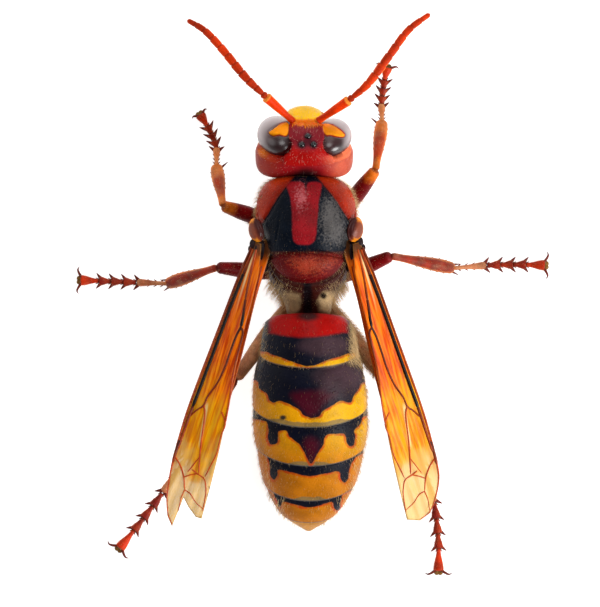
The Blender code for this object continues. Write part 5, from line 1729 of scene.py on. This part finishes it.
@dataclass
class Wings:
    """The folded fore and hind wings: thin membranes, the plaited lobe and the veins."""

    sweep: bpy.types.NodeTree
    plans: dict[Side, WingPlan]
    lead: tuple[Spot, ...] = (
        (-0.3, -0.3), (0.9, -0.58), (2.4, -0.8), (7.2, -1.15), (14.0, -1.6), (17.9, -1.58))
    trail: tuple[Spot, ...] = ((22.1, 2.1), (19.1, 2.0), (15.8, 1.8), (12.3, 1.45), (9.3, 1.15), (6.6, 0.95),
                               (2.1, 0.74), (0.8, 0.5), (-0.3, 0.25))
    lobe: tuple[Spot, ...] = ((6.2, 0.3), (9.0, 0.05), (12.0, 0.2), (15.0, 0.75), (17.6, 1.2), (18.6, 1.9),
                              (15.8, 1.74), (12.3, 1.4), (9.3, 1.1), (6.6, 0.9))
    hind: tuple[Spot, ...] = ((-0.2, 0.1), (6.8, 0.3), (11.0, 0.4), (15.2, 0.35), (17.0, 0.5), (16.2, 1.15),
                              (13.0, 1.5), (8.2, 1.35), (4.1, 1.12), (1.4, 1.12), (-0.2, 1.05))
    roll: Spot = (34.0, 14.0)
    height: Spot = (8.55, 3.9)
    arch: float = 0.35
    thick: float = 0.05
    mesh_step: float = 0.24

    def place(self, plan: WingPlan, spots: np.ndarray, sink: Any = 0.0) -> np.ndarray:
        """Put plan places of a wing in the model, on its rippled sheet."""
        along, across = spots[:, 0], spots[:, 1]
        share = np.clip(along / plan.length, 0, 1)
        roll = np.radians(self.roll[0] + (self.roll[1] - self.roll[0]) * share)
        z = self.height[0] + (self.height[1] - self.height[0]) * share + self.arch * np.sin(math.pi * share)
        z = z + across * np.tan(roll) - sink
        ripple = 0.05 * np.sin(7.5 * across + 0.35 * along + plan.side.value)
        ripple = ripple + 0.045 * np.sin(2.1 * along + 3.0 * across) * ease(0.5, 0.85, share)
        turn = math.radians(plan.sweep)
        x = plan.root[0] + plan.side.value * (along * math.sin(turn) - across * math.cos(turn))
        y = plan.root[1] + along * math.cos(turn) + across * math.sin(turn)
        return np.stack([x, y, z + ripple], axis=1)

    def sheet(self, name: str, plan: WingPlan, outline: Sequence[Spot], sink: float) -> bpy.types.Mesh:
        """Make one thin membrane.

        Args:
            name: the mesh's name.
            plan: the wing's place.
            outline: its closed outline.
            sink: how far it lies under the forewing's middle sheet.

        Returns:
            A closed sheet with its own along and across stored.
        """
        loop = np.array(outline, float)
        rim = []
        for start, end in zip(loop, np.roll(loop, -1, axis=0)):
            count = max(1, round(float(np.linalg.norm(end - start)) / self.mesh_step))
            rim += [tuple(start + (end - start) * step / count) for step in range(count)]
        low, high = loop.min(0), loop.max(0)
        grid = np.array([(a, b) for a in np.arange(low[0], high[0], self.mesh_step)
                         for b in np.arange(low[1], high[1], self.mesh_step * 0.7)])
        inner = [tuple(spot) for spot in grid[region(grid, rim) > self.mesh_step * 0.45]]
        points = [Vector(spot) for spot in rim + inner]
        edges = [(i, (i + 1) % len(rim)) for i in range(len(rim))]
        verts, _, faces, *_ = delaunay_2d_cdt(points, edges, [], 0, 0.001)
        flat = np.array([tuple(v) for v in verts])
        middles = np.array([flat[list(face)].mean(0) for face in faces])
        faces = [face for face, depth in zip(faces, region(middles, rim)) if depth > 0]
        used = sorted({index for face in faces for index in face})
        order = {old: new for new, old in enumerate(used)}
        flat = flat[used]
        faces = [tuple(order[index] for index in face) for face in faces]
        upper = self.place(plan, flat, sink)
        count = len(flat)
        borders: dict[tuple[int, int], int] = {}
        for face in faces:
            for a, b in zip(face, face[1:] + face[:1]):
                borders[(a, b)] = 1
        walls = [(a, b, b + count, a + count) for a, b in borders if (b, a) not in borders]
        down = [tuple(index + count for index in reversed(face)) for face in faces]
        mesh = bpy.data.meshes.new(name)
        both = np.concatenate([upper, upper - (0, 0, self.thick)])
        mesh.from_pydata((both * MM).tolist(), [], faces + down + walls)
        rim_distance = region(flat, rim)
        for key, values in (("along", flat[:, 0]), ("across", flat[:, 1]), ("rim", rim_distance)):
            set_value(mesh, key, np.concatenate([values, values]))
        return face_out(mesh)

    def fore(self, side: Side) -> bpy.types.Mesh:
        """Build one forewing's membrane with its plaited lobe."""
        plan = self.plans[side]
        smooth = [tuple(s) for s in smooth_path(self.lead, 30)[:-1]] + [*plan.tip]
        smooth += [tuple(s) for s in smooth_path(self.trail, 40)]
        return joined("fore_" + side.word, [self.sheet("fore", plan, smooth, 0.0),
                                            self.sheet("lobe", plan, rounded(self.lobe, 3), 0.22)])

    def back(self, side: Side) -> bpy.types.Mesh:
        """Build one hind wing's membrane."""
        return self.sheet("hind_" + side.word, self.plans[side], rounded(self.hind, 3), 0.85)

    def veins(self, side: Side, sunk: bool, material: bpy.types.Material) -> bpy.types.Mesh:
        """Sweep the veins of a fore or hind wing.

        Args:
            side: which side.
            sunk: whether the hind wing's veins are wanted.
            material: their finish.

        Returns:
            One mesh of closed tubes.
        """
        plan = self.plans[side]
        points, edges, thickness, burn = [], [], [], []
        margin = tuple((along - 0.06, across + 0.06) for along, across in plan.tip[:4])
        leading = Vein(((18.3, -1.46), *margin), (0.08, 0.03), (0.4, 0.1))
        for vein in (*VEINS, leading):
            if (vein.sink > 0) is not sunk:
                continue
            steps = max(12, round(4 * math.dist(vein.path[0], vein.path[-1])))
            flat = smooth_path(vein.path, steps)
            share = np.linspace(0, 1, steps + 1)
            start = len(points)
            points += self.place(plan, flat, vein.sink - 0.01).tolist()
            edges += [(start + i, start + i + 1) for i in range(steps)]
            ends = 1 - 0.6 * ease(0.97, 1.0, share)
            thickness += ((vein.radii[0] + (vein.radii[1] - vein.radii[0]) * share) * ends * MM).tolist()
            burn += (vein.burn[0] + (vein.burn[1] - vein.burn[0]) * share).tolist()
        mesh = bpy.data.meshes.new("vein_lines")
        mesh.from_pydata((np.array(points) * MM).tolist(), edges, [])
        set_value(mesh, "thickness", thickness)
        set_value(mesh, "burn", burn)
        return run_tree(placed("vein_holder", mesh), self.sweep, {"Sides": 10, "Material": material})

    def membrane(self) -> bpy.types.Material:
        """Return the finish of the membranes: amber at the root, clear cream at the tip, streaked."""
        material, wiring, shader = blank_material("wing_membrane")
        along, across = wiring.value_of("along"), wiring.value_of("across")
        stretched = wiring.add("ShaderNodeCombineXYZ", {
            0: wiring.math("MULTIPLY", along, 0.22), 1: wiring.math("MULTIPLY", across, 3.2)}).outputs[0]
        streak = wiring.rise(wiring.noise(1.6, 5.0, stretched), 0.38, 0.64)
        patchy = wiring.noise(450.0, 3.0)
        reach = wiring.math("ADD", along, wiring.rise(patchy, 0.2, 0.8, -2.0, 2.0))
        gold = wiring.rise(reach, 9.5, 15.0)
        cream = wiring.rise(reach, 16.3, 20.3)
        amber = wiring.mix(streak, rgba((0.96, 0.2, 0.001)), rgba((0.56, 0.05, 0.001)))
        golden = wiring.mix(streak, rgba((0.84, 0.38, 0.002)), rgba((0.64, 0.17, 0.001)))
        color = wiring.mix(gold, amber, golden)
        color = wiring.mix(cream, color, rgba((0.82, 0.52, 0.14)))
        inner = wiring.math("ABSOLUTE", wiring.math("ADD", across, 0.16))
        strip = wiring.math("MULTIPLY", wiring.rise(inner, 0.12, 0.03), wiring.rise(along, 6.0, 2.0))
        drift = wiring.math("MULTIPLY_ADD", along, -0.124, wiring.math("ADD", across, 1.8))
        cell = wiring.math("MULTIPLY", wiring.rise(wiring.math("ABSOLUTE", drift), 0.16, 0.05),
                           wiring.rise(along, 12.9, 13.5))
        cell = wiring.math("MULTIPLY", cell, wiring.rise(along, 16.9, 16.0))
        strip = wiring.math("MAXIMUM", strip, cell)
        color = wiring.mix(wiring.math("MULTIPLY", strip, 0.8), color, rgba((0.86, 0.66, 0.3)))
        color = wiring.mix(wiring.rise(along, 1.5, 0.1), color, rgba((0.1, 0.03, 0.008)))
        hem = wiring.math("MULTIPLY", wiring.rise(wiring.value_of("rim"), 0.1, 0.02), 0.55)
        color = wiring.mix(hem, color, rgba((0.3, 0.14, 0.03)))
        wiring.tree.links.new(color, shader.inputs["Base Color"])
        solid = wiring.rise(cream, 0.0, 1.0, 0.94, 0.62)
        edge = wiring.rise(wiring.value_of("rim"), 0.0, 0.12, 0.25, 0.0)
        alpha = wiring.math("ADD", wiring.math("MULTIPLY_ADD", streak, 0.1, solid), edge)
        wiring.tree.links.new(alpha, shader.inputs["Alpha"])
        bump = wiring.add("ShaderNodeBump", {"Height": wiring.noise(2600.0, 4.0), "Strength": 0.6,
                                             "Distance": 0.02 * MM})
        wiring.tree.links.new(bump.outputs["Normal"], shader.inputs["Normal"])
        set_inputs(shader, {"Roughness": 0.35, "Specular IOR Level": 0.12})
        return material

    def vein_finish(self) -> bpy.types.Material:
        """Return the finish of the veins: black by the root, rust towards the tip."""
        material, wiring, shader = blank_material("wing_vein")
        burn = wiring.rise(wiring.value_of("burn"), 0.35, 0.95)
        grain = wiring.rise(wiring.noise(1800.0), 0.3, 0.7)
        rust = wiring.mix(grain, rgba((0.55, 0.08, 0.004)), rgba((0.4, 0.035, 0.003)))
        color = wiring.mix(burn, rust, rgba((0.006, 0.003, 0.003)))
        wiring.tree.links.new(color, shader.inputs["Base Color"])
        set_inputs(shader, {"Roughness": 0.35, "Specular IOR Level": 0.2})
        return material


# Legs

@dataclass(frozen=True)
class LegPlan:
    """The bends of one leg, from the body out to the claws, in millimetres."""

    name: str
    side: Side
    hip: Place
    trochanter: Place
    knee: Place
    ankle: Place
    instep: Place
    toe: Place
    spurs: int = 2
    claw_share: float = 1.0


LEGS = (
    LegPlan("front", Side.LEFT, (1.9, -7.64, 3.7), (3.58, -5.98, 2.8), (7.18, -7.16, 5.6),
            (7.74, -10.36, 2.2), (7.73, -11.86, 0.95), (9.08, -14.6, 0.5), 1, 0.65),
    LegPlan("front", Side.RIGHT, (-0.6, -7.7, 3.7), (-2.58, -6.84, 2.8), (-5.02, -10.04, 5.4),
            (-5.57, -13.96, 2.0), (-5.53, -15.38, 0.95), (-6.0, -18.4, 0.5), 1, 0.85),
    LegPlan("middle", Side.LEFT, (1.6, -3.6, 3.5), (2.8, -1.75, 2.6), (7.66, -2.24, 5.6), (11.66, -0.96, 1.5),
            (14.23, -1.06, 0.9), (18.75, -1.24, 0.5)),
    LegPlan("middle", Side.RIGHT, (-0.5, -3.5, 3.5), (-1.9, -1.3, 2.6), (-6.26, -3.16, 5.6),
            (-11.3, -2.2, 1.5), (-14.05, -2.44, 0.9), (-18.75, -2.44, 0.5)),
    LegPlan("hind", Side.LEFT, (1.6, -0.9, 3.9), (2.05, 0.85, 3.0), (6.14, 6.68, 4.9), (10.14, 13.0, 1.6),
            (12.14, 15.94, 0.9), (15.6, 20.4, 0.5)),
    LegPlan("hind", Side.RIGHT, (-0.52, -0.9, 3.9), (-1.3, 0.85, 3.0), (-5.62, 6.6, 4.9), (-8.9, 13.64, 1.6),
            (-9.78, 16.73, 0.9), (-10.13, 22.25, 0.5)),
)


@dataclass
class Legs:
    """The six legs: coxa, femur, tibia, five tarsal joints, spurs, spines, claws and pad."""

    effects: Effects
    coxa_radii: tuple[float, ...] = (0.95, 1.0, 0.75, 0.5)
    femur_radii: tuple[float, ...] = (0.4, 0.57, 0.64, 0.62, 0.54, 0.44)
    tibia_radii: tuple[float, ...] = (0.3, 0.31, 0.4, 0.5, 0.54, 0.46)
    tarsal_ends: tuple[float, ...] = (0.0, 0.23, 0.45, 0.67, 1.0)
    tarsal_bend: float = 0.5
    tarsal_sink: float = 0.8
    neck: float = 0.17
    joint_width: float = 0.37
    toe_width: float = 0.42
    spine_length: float = 0.64
    spur_length: float = 1.1
    claw: tuple[Place, ...] = ((-0.25, 0.1, 0.0), (0.05, 0.5, 0.02), (0.2, 0.85, -0.08), (0.08, 1.1, -0.26))
    claw_radii: tuple[float, ...] = (0.14, 0.11, 0.08, 0.02)

    def foot_spot(self, plan: LegPlan, share: float) -> np.ndarray:
        """Return a place of the small tarsal joints, which bend on from the first long one."""
        ankle, instep, toe = (np.array(spot) for spot in (plan.ankle, plan.instep, plan.toe))
        chord = toe - instep
        run = instep - ankle
        ahead = run / np.linalg.norm(run) * np.linalg.norm(chord)
        bend = (ahead - chord) * self.tarsal_bend * share * (1 - share)
        spot = instep + chord * share + bend
        spot[2] = instep[2] + chord[2] * share**self.tarsal_sink
        return spot

    def _limb(self, name: str, ends: tuple[Any, Any], radii: Sequence[float], bow: float,
              island: tuple[float, ...], dark: float, tan: float = -1.0,
              knee: bool = False) -> bpy.types.Mesh:
        """Build one long segment with a narrowed joint at each end.

        Args:
            name: the segment's name.
            ends: its two ends.
            radii: its radii along the way.
            bow: how far its middle is raised.
            island: its box of the unwrap.
            dark: how dark its shell is, from -1 to 1.
            tan: how far the tan down covers its shell, from -1 to 1.
            knee: whether its end at the knee is amber.

        Returns:
            Its mesh, with the lie of its hairs.
        """
        start, end = (np.array(spot, float) for spot in ends)
        steps = 44
        share = np.linspace(0, 1, steps + 1)
        path = start + (end - start) * share[:, None]
        path[:, 2] += bow * np.sin(math.pi * share)
        girth = spread(radii, share)
        girth = girth * (0.55 + 0.45 * ease(0, 0.04, share)) * (0.5 + 0.5 * ease(1.0, 0.965, share))
        joint = 0.07 - np.minimum(share, 1 - share) * np.linalg.norm(end - start)
        ending = share if name == "femur" else 1 - share
        amber = (ending - 0.8) * 4 if knee else np.full(len(share), -1.0)
        if knee and name == "tibia":
            amber = np.maximum(amber, (share - 0.7) * 3)
        root = ease(0.5, 0.15, share) * (knee and name == "femur")
        mesh = tube_mesh(name, path, girth, 28, island=island, joint=joint, dark=np.full(len(share), dark),
                         pale=np.full(len(share), -1.0), tan=np.maximum(tan, root * 1.6 - 1.0), knee=amber,
                         root=root)
        set_value(mesh, "edge_glow", side_glow(mesh, 0.9) if name == "tibia" else -1.0)
        lie = (end - start) / np.linalg.norm(end - start)
        root = get_value(mesh, "root")
        downy = name == "femur" and tan > 0.5
        density = {"coxa": 1.0, "femur": 0.45, "tibia": 0.25}[name] + 2.0 * downy
        length = {"coxa": 1.1, "femur": 0.65, "tibia": 0.45}[name] + 1.0 * root + 0.7 * downy
        comb(mesh, density + 0.9 * root, length, lie * (0.9 if downy else 1.1), 0.05)
        return mesh

    def _spike(self, base: np.ndarray, tip: np.ndarray, radius: float, sag: float = 0.0) -> bpy.types.Mesh:
        """Build one pointed spine, bent down a little."""
        share = np.linspace(0, 1, 9)
        path = base + (tip - base) * share[:, None]
        path[:, 2] -= sag * share**2
        girth = radius * (1 - share) ** 0.8 + 0.012
        flat = np.full(9, 1.0)
        return tube_mesh("spine", path, girth, 8, dark=flat, pale=-flat, joint=-flat)

    def _foot(self, plan: LegPlan, box: Callable[[int], tuple[float, ...]]) -> tuple[list, list, list]:
        """Build the five tarsal joints, their spines, the claws and the pad."""
        ends = [self.foot_spot(plan, share) for share in self.tarsal_ends]
        bases = [np.array(plan.ankle)] + ends[:-1]
        shell, spines, pads = [], [], []
        for number, (base, end) in enumerate(zip(bases, ends)):
            last = number == len(ends) - 1
            share = np.linspace(-0.02, 0.97, 22)
            path = base + (end - base) * share[:, None]
            wide = self.toe_width if last else self.joint_width
            wide = wide if number else 0.3
            girth = self.neck + (wide - self.neck) * ease(0.05 if number else 0.3, 0.9, share)
            girth = girth * (0.6 + 0.4 * ease(-0.02, 0.06, share)) * (0.35 + 0.65 * ease(0.97, 0.92, share))
            length = np.linalg.norm(end - base)
            joint = 0.07 - np.minimum(share + 0.02, 0.97 - share) * length
            island = box(3)
            low = island[1] + (island[3] - island[1]) * number / 5
            first = number == 0
            shades = {"dark": 0.0 if 0 < number < 4 else -1.0, "pale": 1.0 if last else -1.0,
                      "tan": 0.1 if first else -1.0,
                      "knee": 0.1 if first and plan.name == "front" else -1.0}
            patch = (island[0], low, island[2], low + 0.02)
            mesh = tube_mesh("tarsus", path, girth, 22, flat=0.9, island=patch, joint=joint,
                             **{key: np.full(22, value) for key, value in shades.items()})
            set_value(mesh, "edge_glow", side_glow(mesh, 0.92))
            ahead = (end - base) / length
            side = np.cross(ahead, (0, 0, 1))
            side /= np.linalg.norm(side)
            comb(mesh, 0.5, 0.45, ahead * 1.1, 0.3)
            shell.append(mesh)
            if last:
                continue
            for sign in (1, -1):
                root = end - ahead * 0.24 + side * sign * 0.14
                tip = end + ahead * 0.2 + side * sign * self.spine_length
                spines.append(self._spike(root, (*tip[:2], root[2] - 0.1), 0.17))
                small = end - ahead * 0.05 + side * sign * 0.1 - (0, 0, 0.12)
                tip = small + ahead * 0.3 + side * sign * 0.16 - (0, 0, 0.1)
                spines.append(self._spike(small, tip, 0.07))
            for step in range(1 + 3 * (number == 0)):
                part = (step + 0.8) / (2 + 3 * (number == 0))
                for sign in (1, -1):
                    root = base + (end - base) * part + side * sign * 0.16
                    tip = root + ahead * 0.24 + side * sign * 0.16 - (0, 0, 0.06)
                    spines.append(self._spike(root, tip, 0.045))
        toe = ends[-1]
        axis = ends[-1] - bases[-1]
        axis[2] = 0
        axis /= np.linalg.norm(axis)
        side = np.cross(axis, (0, 0, 1))
        girth = spread(self.claw_radii, np.linspace(0, 1, 19))
        flat = np.full(19, 1.0)
        for sign in (1, -1):
            line = [toe + (axis * ahead + side * sign * aside) * plan.claw_share + (0, 0, up)
                    for ahead, aside, up in self.claw]
            path = smooth_path(line, 18)
            path[:, 2] = np.maximum(path[:, 2], girth + 0.02)
            spines.append(tube_mesh("claw", path, girth, 14, dark=flat, pale=-flat, joint=-flat))
            lobe = ball_rows(14, 20)[..., [1, 0, 2]] * (0.24, 0.3, 0.2)
            turn = np.array([[axis[1], axis[0], 0], [-axis[0], axis[1], 0], [0, 0, 1]])
            middle = toe - axis * 0.02 + side * sign * 0.14
            pads.append(grid_mesh("pad", lobe @ turn.T + (middle[0], middle[1], 0.21)))
        return shell, spines, pads

    def build(self, plan: LegPlan, shell_finish: bpy.types.Material, spine_finish: bpy.types.Material,
              pad_finish: bpy.types.Material) -> tuple[bpy.types.Mesh, list[bpy.types.Mesh]]:
        """Build one leg.

        Args:
            plan: the leg's bends.
            shell_finish: the segments' finish.
            spine_finish: the spines' and claws' finish.
            pad_finish: the pad's finish.

        Returns:
            The whole leg, and copies of its segments for the coat.
        """
        row = LEGS.index(plan) / len(LEGS)
        height = 0.96 / len(LEGS)

        def box(column: int) -> tuple[float, ...]:
            """Return the unwrap's box of one segment."""
            return (column / 4, row, (column + 0.96) / 4, row + height)

        down = (1.8 if plan.side is Side.RIGHT else 0.4) if plan.name == "hind" else -1.0
        front = plan.name == "front"
        shell = [
            self._limb("coxa", (plan.hip, plan.trochanter), self.coxa_radii, 0.0, box(0), 1.0, 1.0),
            self._limb("femur", (plan.trochanter, plan.knee), self.femur_radii, 0.12, box(1), 1.0, down,
                       front),
            self._limb("tibia", (plan.knee, plan.ankle), self.tibia_radii, 0.08, box(2), 0.25 - 0.6 * front,
                       -0.55, front)]
        feet, spines, pads = self._foot(plan, box)
        shell += feet
        ankle, knee = np.array(plan.ankle), np.array(plan.knee)
        ahead = (ankle - knee) / np.linalg.norm(ankle - knee)
        side = np.cross(ahead, (0, 0, 1))
        side /= np.linalg.norm(side)
        for sign in (1, -1)[:plan.spurs]:
            aside = side * sign * plan.side.value
            root = ankle - ahead * 0.35 + aside * 0.22
            way = ahead * 0.62 + aside * 0.7 if front else ahead * 0.95 + aside * 0.22
            spines.append(self._spike(root, root + way * self.spur_length, 0.12, 0.1))
        for step in range(5):
            for sign in (1, -1):
                part = 0.4 + 0.11 * step
                aside = side * sign * 0.9 * float(spread(self.tibia_radii, part))
                root = knee + (ankle - knee) * part + aside
                spines.append(self._spike(root, root + ahead * 0.26 + side * sign * 0.1, 0.035))
        coat = [mesh.copy() for mesh in shell]
        for group, material in ((shell, shell_finish), (spines, spine_finish), (pads, pad_finish)):
            for mesh in group:
                mesh.materials.append(material)
        return joined(f"leg_{plan.name}_{plan.side.word}", shell + spines + pads), coat

    def finish(self) -> bpy.types.Material:
        """Return the finish of the legs: rust brown, dark crimson near the body, bright toes."""
        return ShellFinish("leg_shell", (0.36, 0.034, 0.006), (
            Marking("dark", (0.15, 0.002, 0.003), 0.6, 1.0, 1100),
            Marking("knee", (0.62, 0.14, 0.006), 0.35, 0.4, 1500, 0.85),
            Marking("tan", (0.56, 0.3, 0.14), 0.8, 0.8, 1100, 0.8),
            Marking("pale", (0.46, 0.025, 0.002), 0.3, 0.1),
            Marking("edge_glow", (0.72, 0.2, 0.006), 0.1, 0.05, 2000, 0.7),
            Marking("joint", (0.09, 0.01, 0.006), 0.06, 0.02, 2000, 0.6),
        ), roughness=0.38, pits=0.5, relief=0.03, clouds=0.25, cloud_scale=900.0).make(self.effects)


# Studio

@dataclass
class Studio:
    """The white table, the soft lights and the camera straight above."""

    lens: float = 500.0
    sensor: float = 36.0
    view_width: float = 48.0
    aim: Place = (1.024, 0.64, 5.0)
    table: float = 700.0

    def floor(self) -> None:
        """Lay the white table top."""
        half = self.table * MM
        mesh = bpy.data.meshes.new("table_top")
        mesh.from_pydata([(-half, -half, 0), (half, -half, 0), (half, half, 0), (-half, half, 0)], [],
                         [(0, 1, 2, 3)])
        material, _, shader = blank_material("white_table")
        set_inputs(shader, {
            "Base Color": rgba((0.55, 0.55, 0.55)), "Roughness": 0.9, "Specular IOR Level": 0.1,
            "Emission Color": rgba((1.0, 1.0, 1.0)), "Emission Strength": 0.85})
        mesh.materials.append(material)
        table = placed("table_top", mesh)

    def world(self) -> None:
        """Light the sky: bright near the horizon and dimmer overhead, so dark shell stays dark."""
        world = bpy.data.worlds.new("soft_room")
        bpy.context.scene.world = world
        world.use_nodes = True
        wiring = Wiring(world.node_tree)
        way = wiring.add("ShaderNodeTexCoord").outputs["Generated"]
        height = wiring.add("ShaderNodeSeparateXYZ", {0: way}).outputs[2]
        level = wiring.rise(wiring.math("ABSOLUTE", height), 0.0, 0.9, 1.0, 0.2)
        back = world.node_tree.nodes["Background"]
        wiring.tree.links.new(wiring.add("ShaderNodeCombineColor", {0: level, 1: level, 2: level}).outputs[0],
                              back.inputs["Color"])
        back.inputs["Strength"].default_value = 0.52

    def lamp(self, name: str, toward: Place, size: float, power: float, reach: float = 220.0) -> None:
        """Hang a soft box.

        Args:
            name: the lamp's name.
            toward: the direction from the insect to the lamp.
            size: its side in millimetres.
            power: its power in watts.
            reach: its distance in millimetres.
        """
        light = bpy.data.lights.new(name, "AREA")
        light.shape = "DISK"
        light.size = size * MM
        light.energy = power
        lamp = placed(name, light)
        way = Vector(toward).normalized()
        lamp.matrix_world = (Matrix.Translation(way * reach * MM)
                             @ way.to_track_quat("Z", "Y").to_matrix().to_4x4())

    def camera(self) -> None:
        """Set the camera straight above, with the photo's top towards the head."""
        data = bpy.data.cameras.new("camera")
        data.lens = self.lens
        data.sensor_width = self.sensor
        data.sensor_fit = "HORIZONTAL"
        data.clip_start = 0.01
        data.clip_end = 5.0
        camera = placed("camera", data)
        height = self.aim[2] * MM + self.view_width * MM * self.lens / self.sensor
        turn = Matrix.Diagonal((-1.0, -1.0, 1.0, 1.0))
        camera.matrix_world = Matrix.Translation((self.aim[0] * MM, self.aim[1] * MM, height)) @ turn
        bpy.context.scene.camera = camera

    def build(self) -> None:
        """Build the whole studio."""
        self.floor()
        self.world()
        self.lamp("key_box", (-0.76, 0.45, 0.58), 140.0, 0.57)
        self.lamp("fill_box", (0.8, -0.3, 0.5), 180.0, 0.09)
        self.lamp("front_box", (-0.1, -0.9, 0.5), 160.0, 0.06)
        self.lamp("top_box", (-0.07, -0.37, 0.93), 120.0, 0.14)
        self.camera()
        bpy.context.scene.view_settings.view_transform = "Standard"


def main() -> None:
    """Build the insect around the frame, and the studio."""
    logging.basicConfig(level=logging.INFO, format="%(name)s: %(message)s")
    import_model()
    Studio().build()
    effects = Effects()
    hair_tree = coat_tree()
    gold = HairFinish("golden_hair").make()
    silver = HairFinish("pale_head_hair", (0.9, 0.6, 0.48), (0.3, 0.07, 0.05)).make()
    amber = HairFinish("amber_bristles", (1.0, 0.5, 0.006), (0.95, 0.12, 0.001)).make()

    head = HeadCapsule(effects)
    skin = head.build()
    dress("head_capsule", skin, ["head"], head.finish())
    dress("ocelli", head.small_eyes(skin), (), head.small_eye_finish())
    eyes, jaws, feelers = CompoundEyes(effects), Mandibles(effects), Antennae(effects)
    facets, jaw_finish, feeler_finish = eyes.finish(), jaws.finish(), feelers.finish()
    antennae = []
    for side in Side:
        dress("compound_eye_" + side.word, eyes.build(side), ["eye_" + side.word], facets)
        dress("jaw_" + side.word, jaws.build(side), ["mandible_" + side.word], jaw_finish)
        antennae.append(feelers.build(side))
        dress("feeler_" + side.word, antennae[-1],
              [f"antenna_{side.word}_scape", f"antenna_{side.word}_flagellum"], feeler_finish)
    thorax = Thorax(effects)
    chest = thorax.build()
    dress("thorax_and_waist", chest, ["thorax", "waist"], thorax.finish())
    gaster = Gaster(effects)
    belly = gaster.build()
    dress("banded_gaster", belly, [f"gaster_{n}" for n in range(1, 7)], gaster.finish())

    tegulae = Tegulae(effects, {
        Side.LEFT: (4.5, -5.2, 8.35, 0.98, 0.72, 0.5, 12.0, 40.0),
        Side.RIGHT: (-3.35, -5.25, 8.35, 1.02, 0.8, 0.5, -10.0, -40.0),
    }, {
        Side.LEFT: ((4.75, -4.1, 8.2, 0.4, 0.3), (4.35, -3.75, 8.4, 0.35, 0.28), (4.95, -3.7, 8.0, 0.3, 0.22),
                    (4.3, -4.25, 8.05, 0.35, 0.32), (4.0, -3.55, 7.9, 0.8, 0.32),
                    (3.75, -2.6, 7.5, 0.7, 0.25)),
        Side.RIGHT: ((-3.7, -4.25, 8.2, 0.45, 0.32), (-3.3, -3.8, 8.4, 0.35, 0.28),
                     (-4.0, -3.8, 8.0, 0.3, 0.2), (-3.25, -4.3, 8.05, 0.35, 0.32),
                     (-3.0, -3.55, 7.9, 0.8, 0.32), (-2.8, -2.6, 7.5, 0.7, 0.25)),
    })
    scale_finish = tegulae.finish()
    hinge_finish = ShellFinish("hinge_shell", (0.018, 0.008, 0.009), roughness=0.3).make(effects)
    wings = Wings(sweep_tree(), {
        Side.LEFT: WingPlan((4.42, -3.88), 17.07, Side.LEFT, 23.4,
                            ((19.6, -1.4), (21.4, -1.1), (22.7, -0.6), (23.4, 0.0), (21.8, 0.15),
                             (20.9, 0.22), (21.5, 0.8), (22.1, 1.6))),
        Side.RIGHT: WingPlan((-3.5, -3.88), 15.9, Side.RIGHT, 22.6,
                             ((19.6, -1.35), (21.0, -0.7), (22.1, 0.15), (22.45, 1.1))),
    })
    membrane, vein_finish = wings.membrane(), wings.vein_finish()
    for side in Side:
        word = side.word
        dress("tegula_scale_" + word, tegulae.scale(side), ["tegula_" + word], scale_finish)
        dress("wing_hinge_" + word, tegulae.hinge(side), (), hinge_finish)
        dress("fore_membrane_" + word, wings.fore(side), ["wing_fore_" + word], membrane)
        dress("hind_membrane_" + word, wings.back(side), ["wing_hind_" + word], membrane)
        dress("fore_veins_" + word, wings.veins(side, False, vein_finish))
        dress("hind_veins_" + word, wings.veins(side, True, vein_finish))
    legs = Legs(effects)
    leg_finish = legs.finish()
    spine_finish = ShellFinish("spine_shell", (0.13, 0.014, 0.006), roughness=0.35, pits=0.2).make(effects)
    pad_finish = ShellFinish("pad_skin", (0.2, 0.09, 0.015), roughness=0.5, pits=0.2).make(effects)
    leg_skins = []
    for plan in LEGS:
        mesh, coat = legs.build(plan, leg_finish, spine_finish, pad_finish)
        leg_skins += coat
        nodes = [f"leg_{plan.name}_{plan.side.word}_{part}" for part in ("coxa", "femur", "tibia", "tarsus")]
        dress(f"whole_leg_{plan.name}_{plan.side.word}", mesh, nodes)
    limbs = joined("leg_skins", leg_skins)
    leg_coat = Coat(34.0, 0.45, thickness=0.024, seed=11).grow([limbs], hair_tree, gold)
    dress("leg_hair", leg_coat)
    bpy.data.meshes.remove(limbs)

    head_coat = Coat(30.0, 0.28, thickness=0.024, seed=3).grow([skin], hair_tree, silver)
    dress("head_hair", head_coat)
    head.comb_brow(skin)
    brow_coat = Coat(90.0, 0.45, thickness=0.06, tousle=0.25, seed=9).grow([skin], hair_tree, amber)
    dress("brow_bristles", brow_coat)
    thorax_coat = Coat(44.0, 0.55, thickness=0.02, seed=5).grow([chest], hair_tree, gold)
    dress("thorax_hair", thorax_coat)
    gaster_coat = Coat(20.0, 0.5, thickness=0.034, seed=7).grow([belly], hair_tree, gold)
    dress("gaster_hair", gaster_coat)


if __name__ == "__main__":
    main()
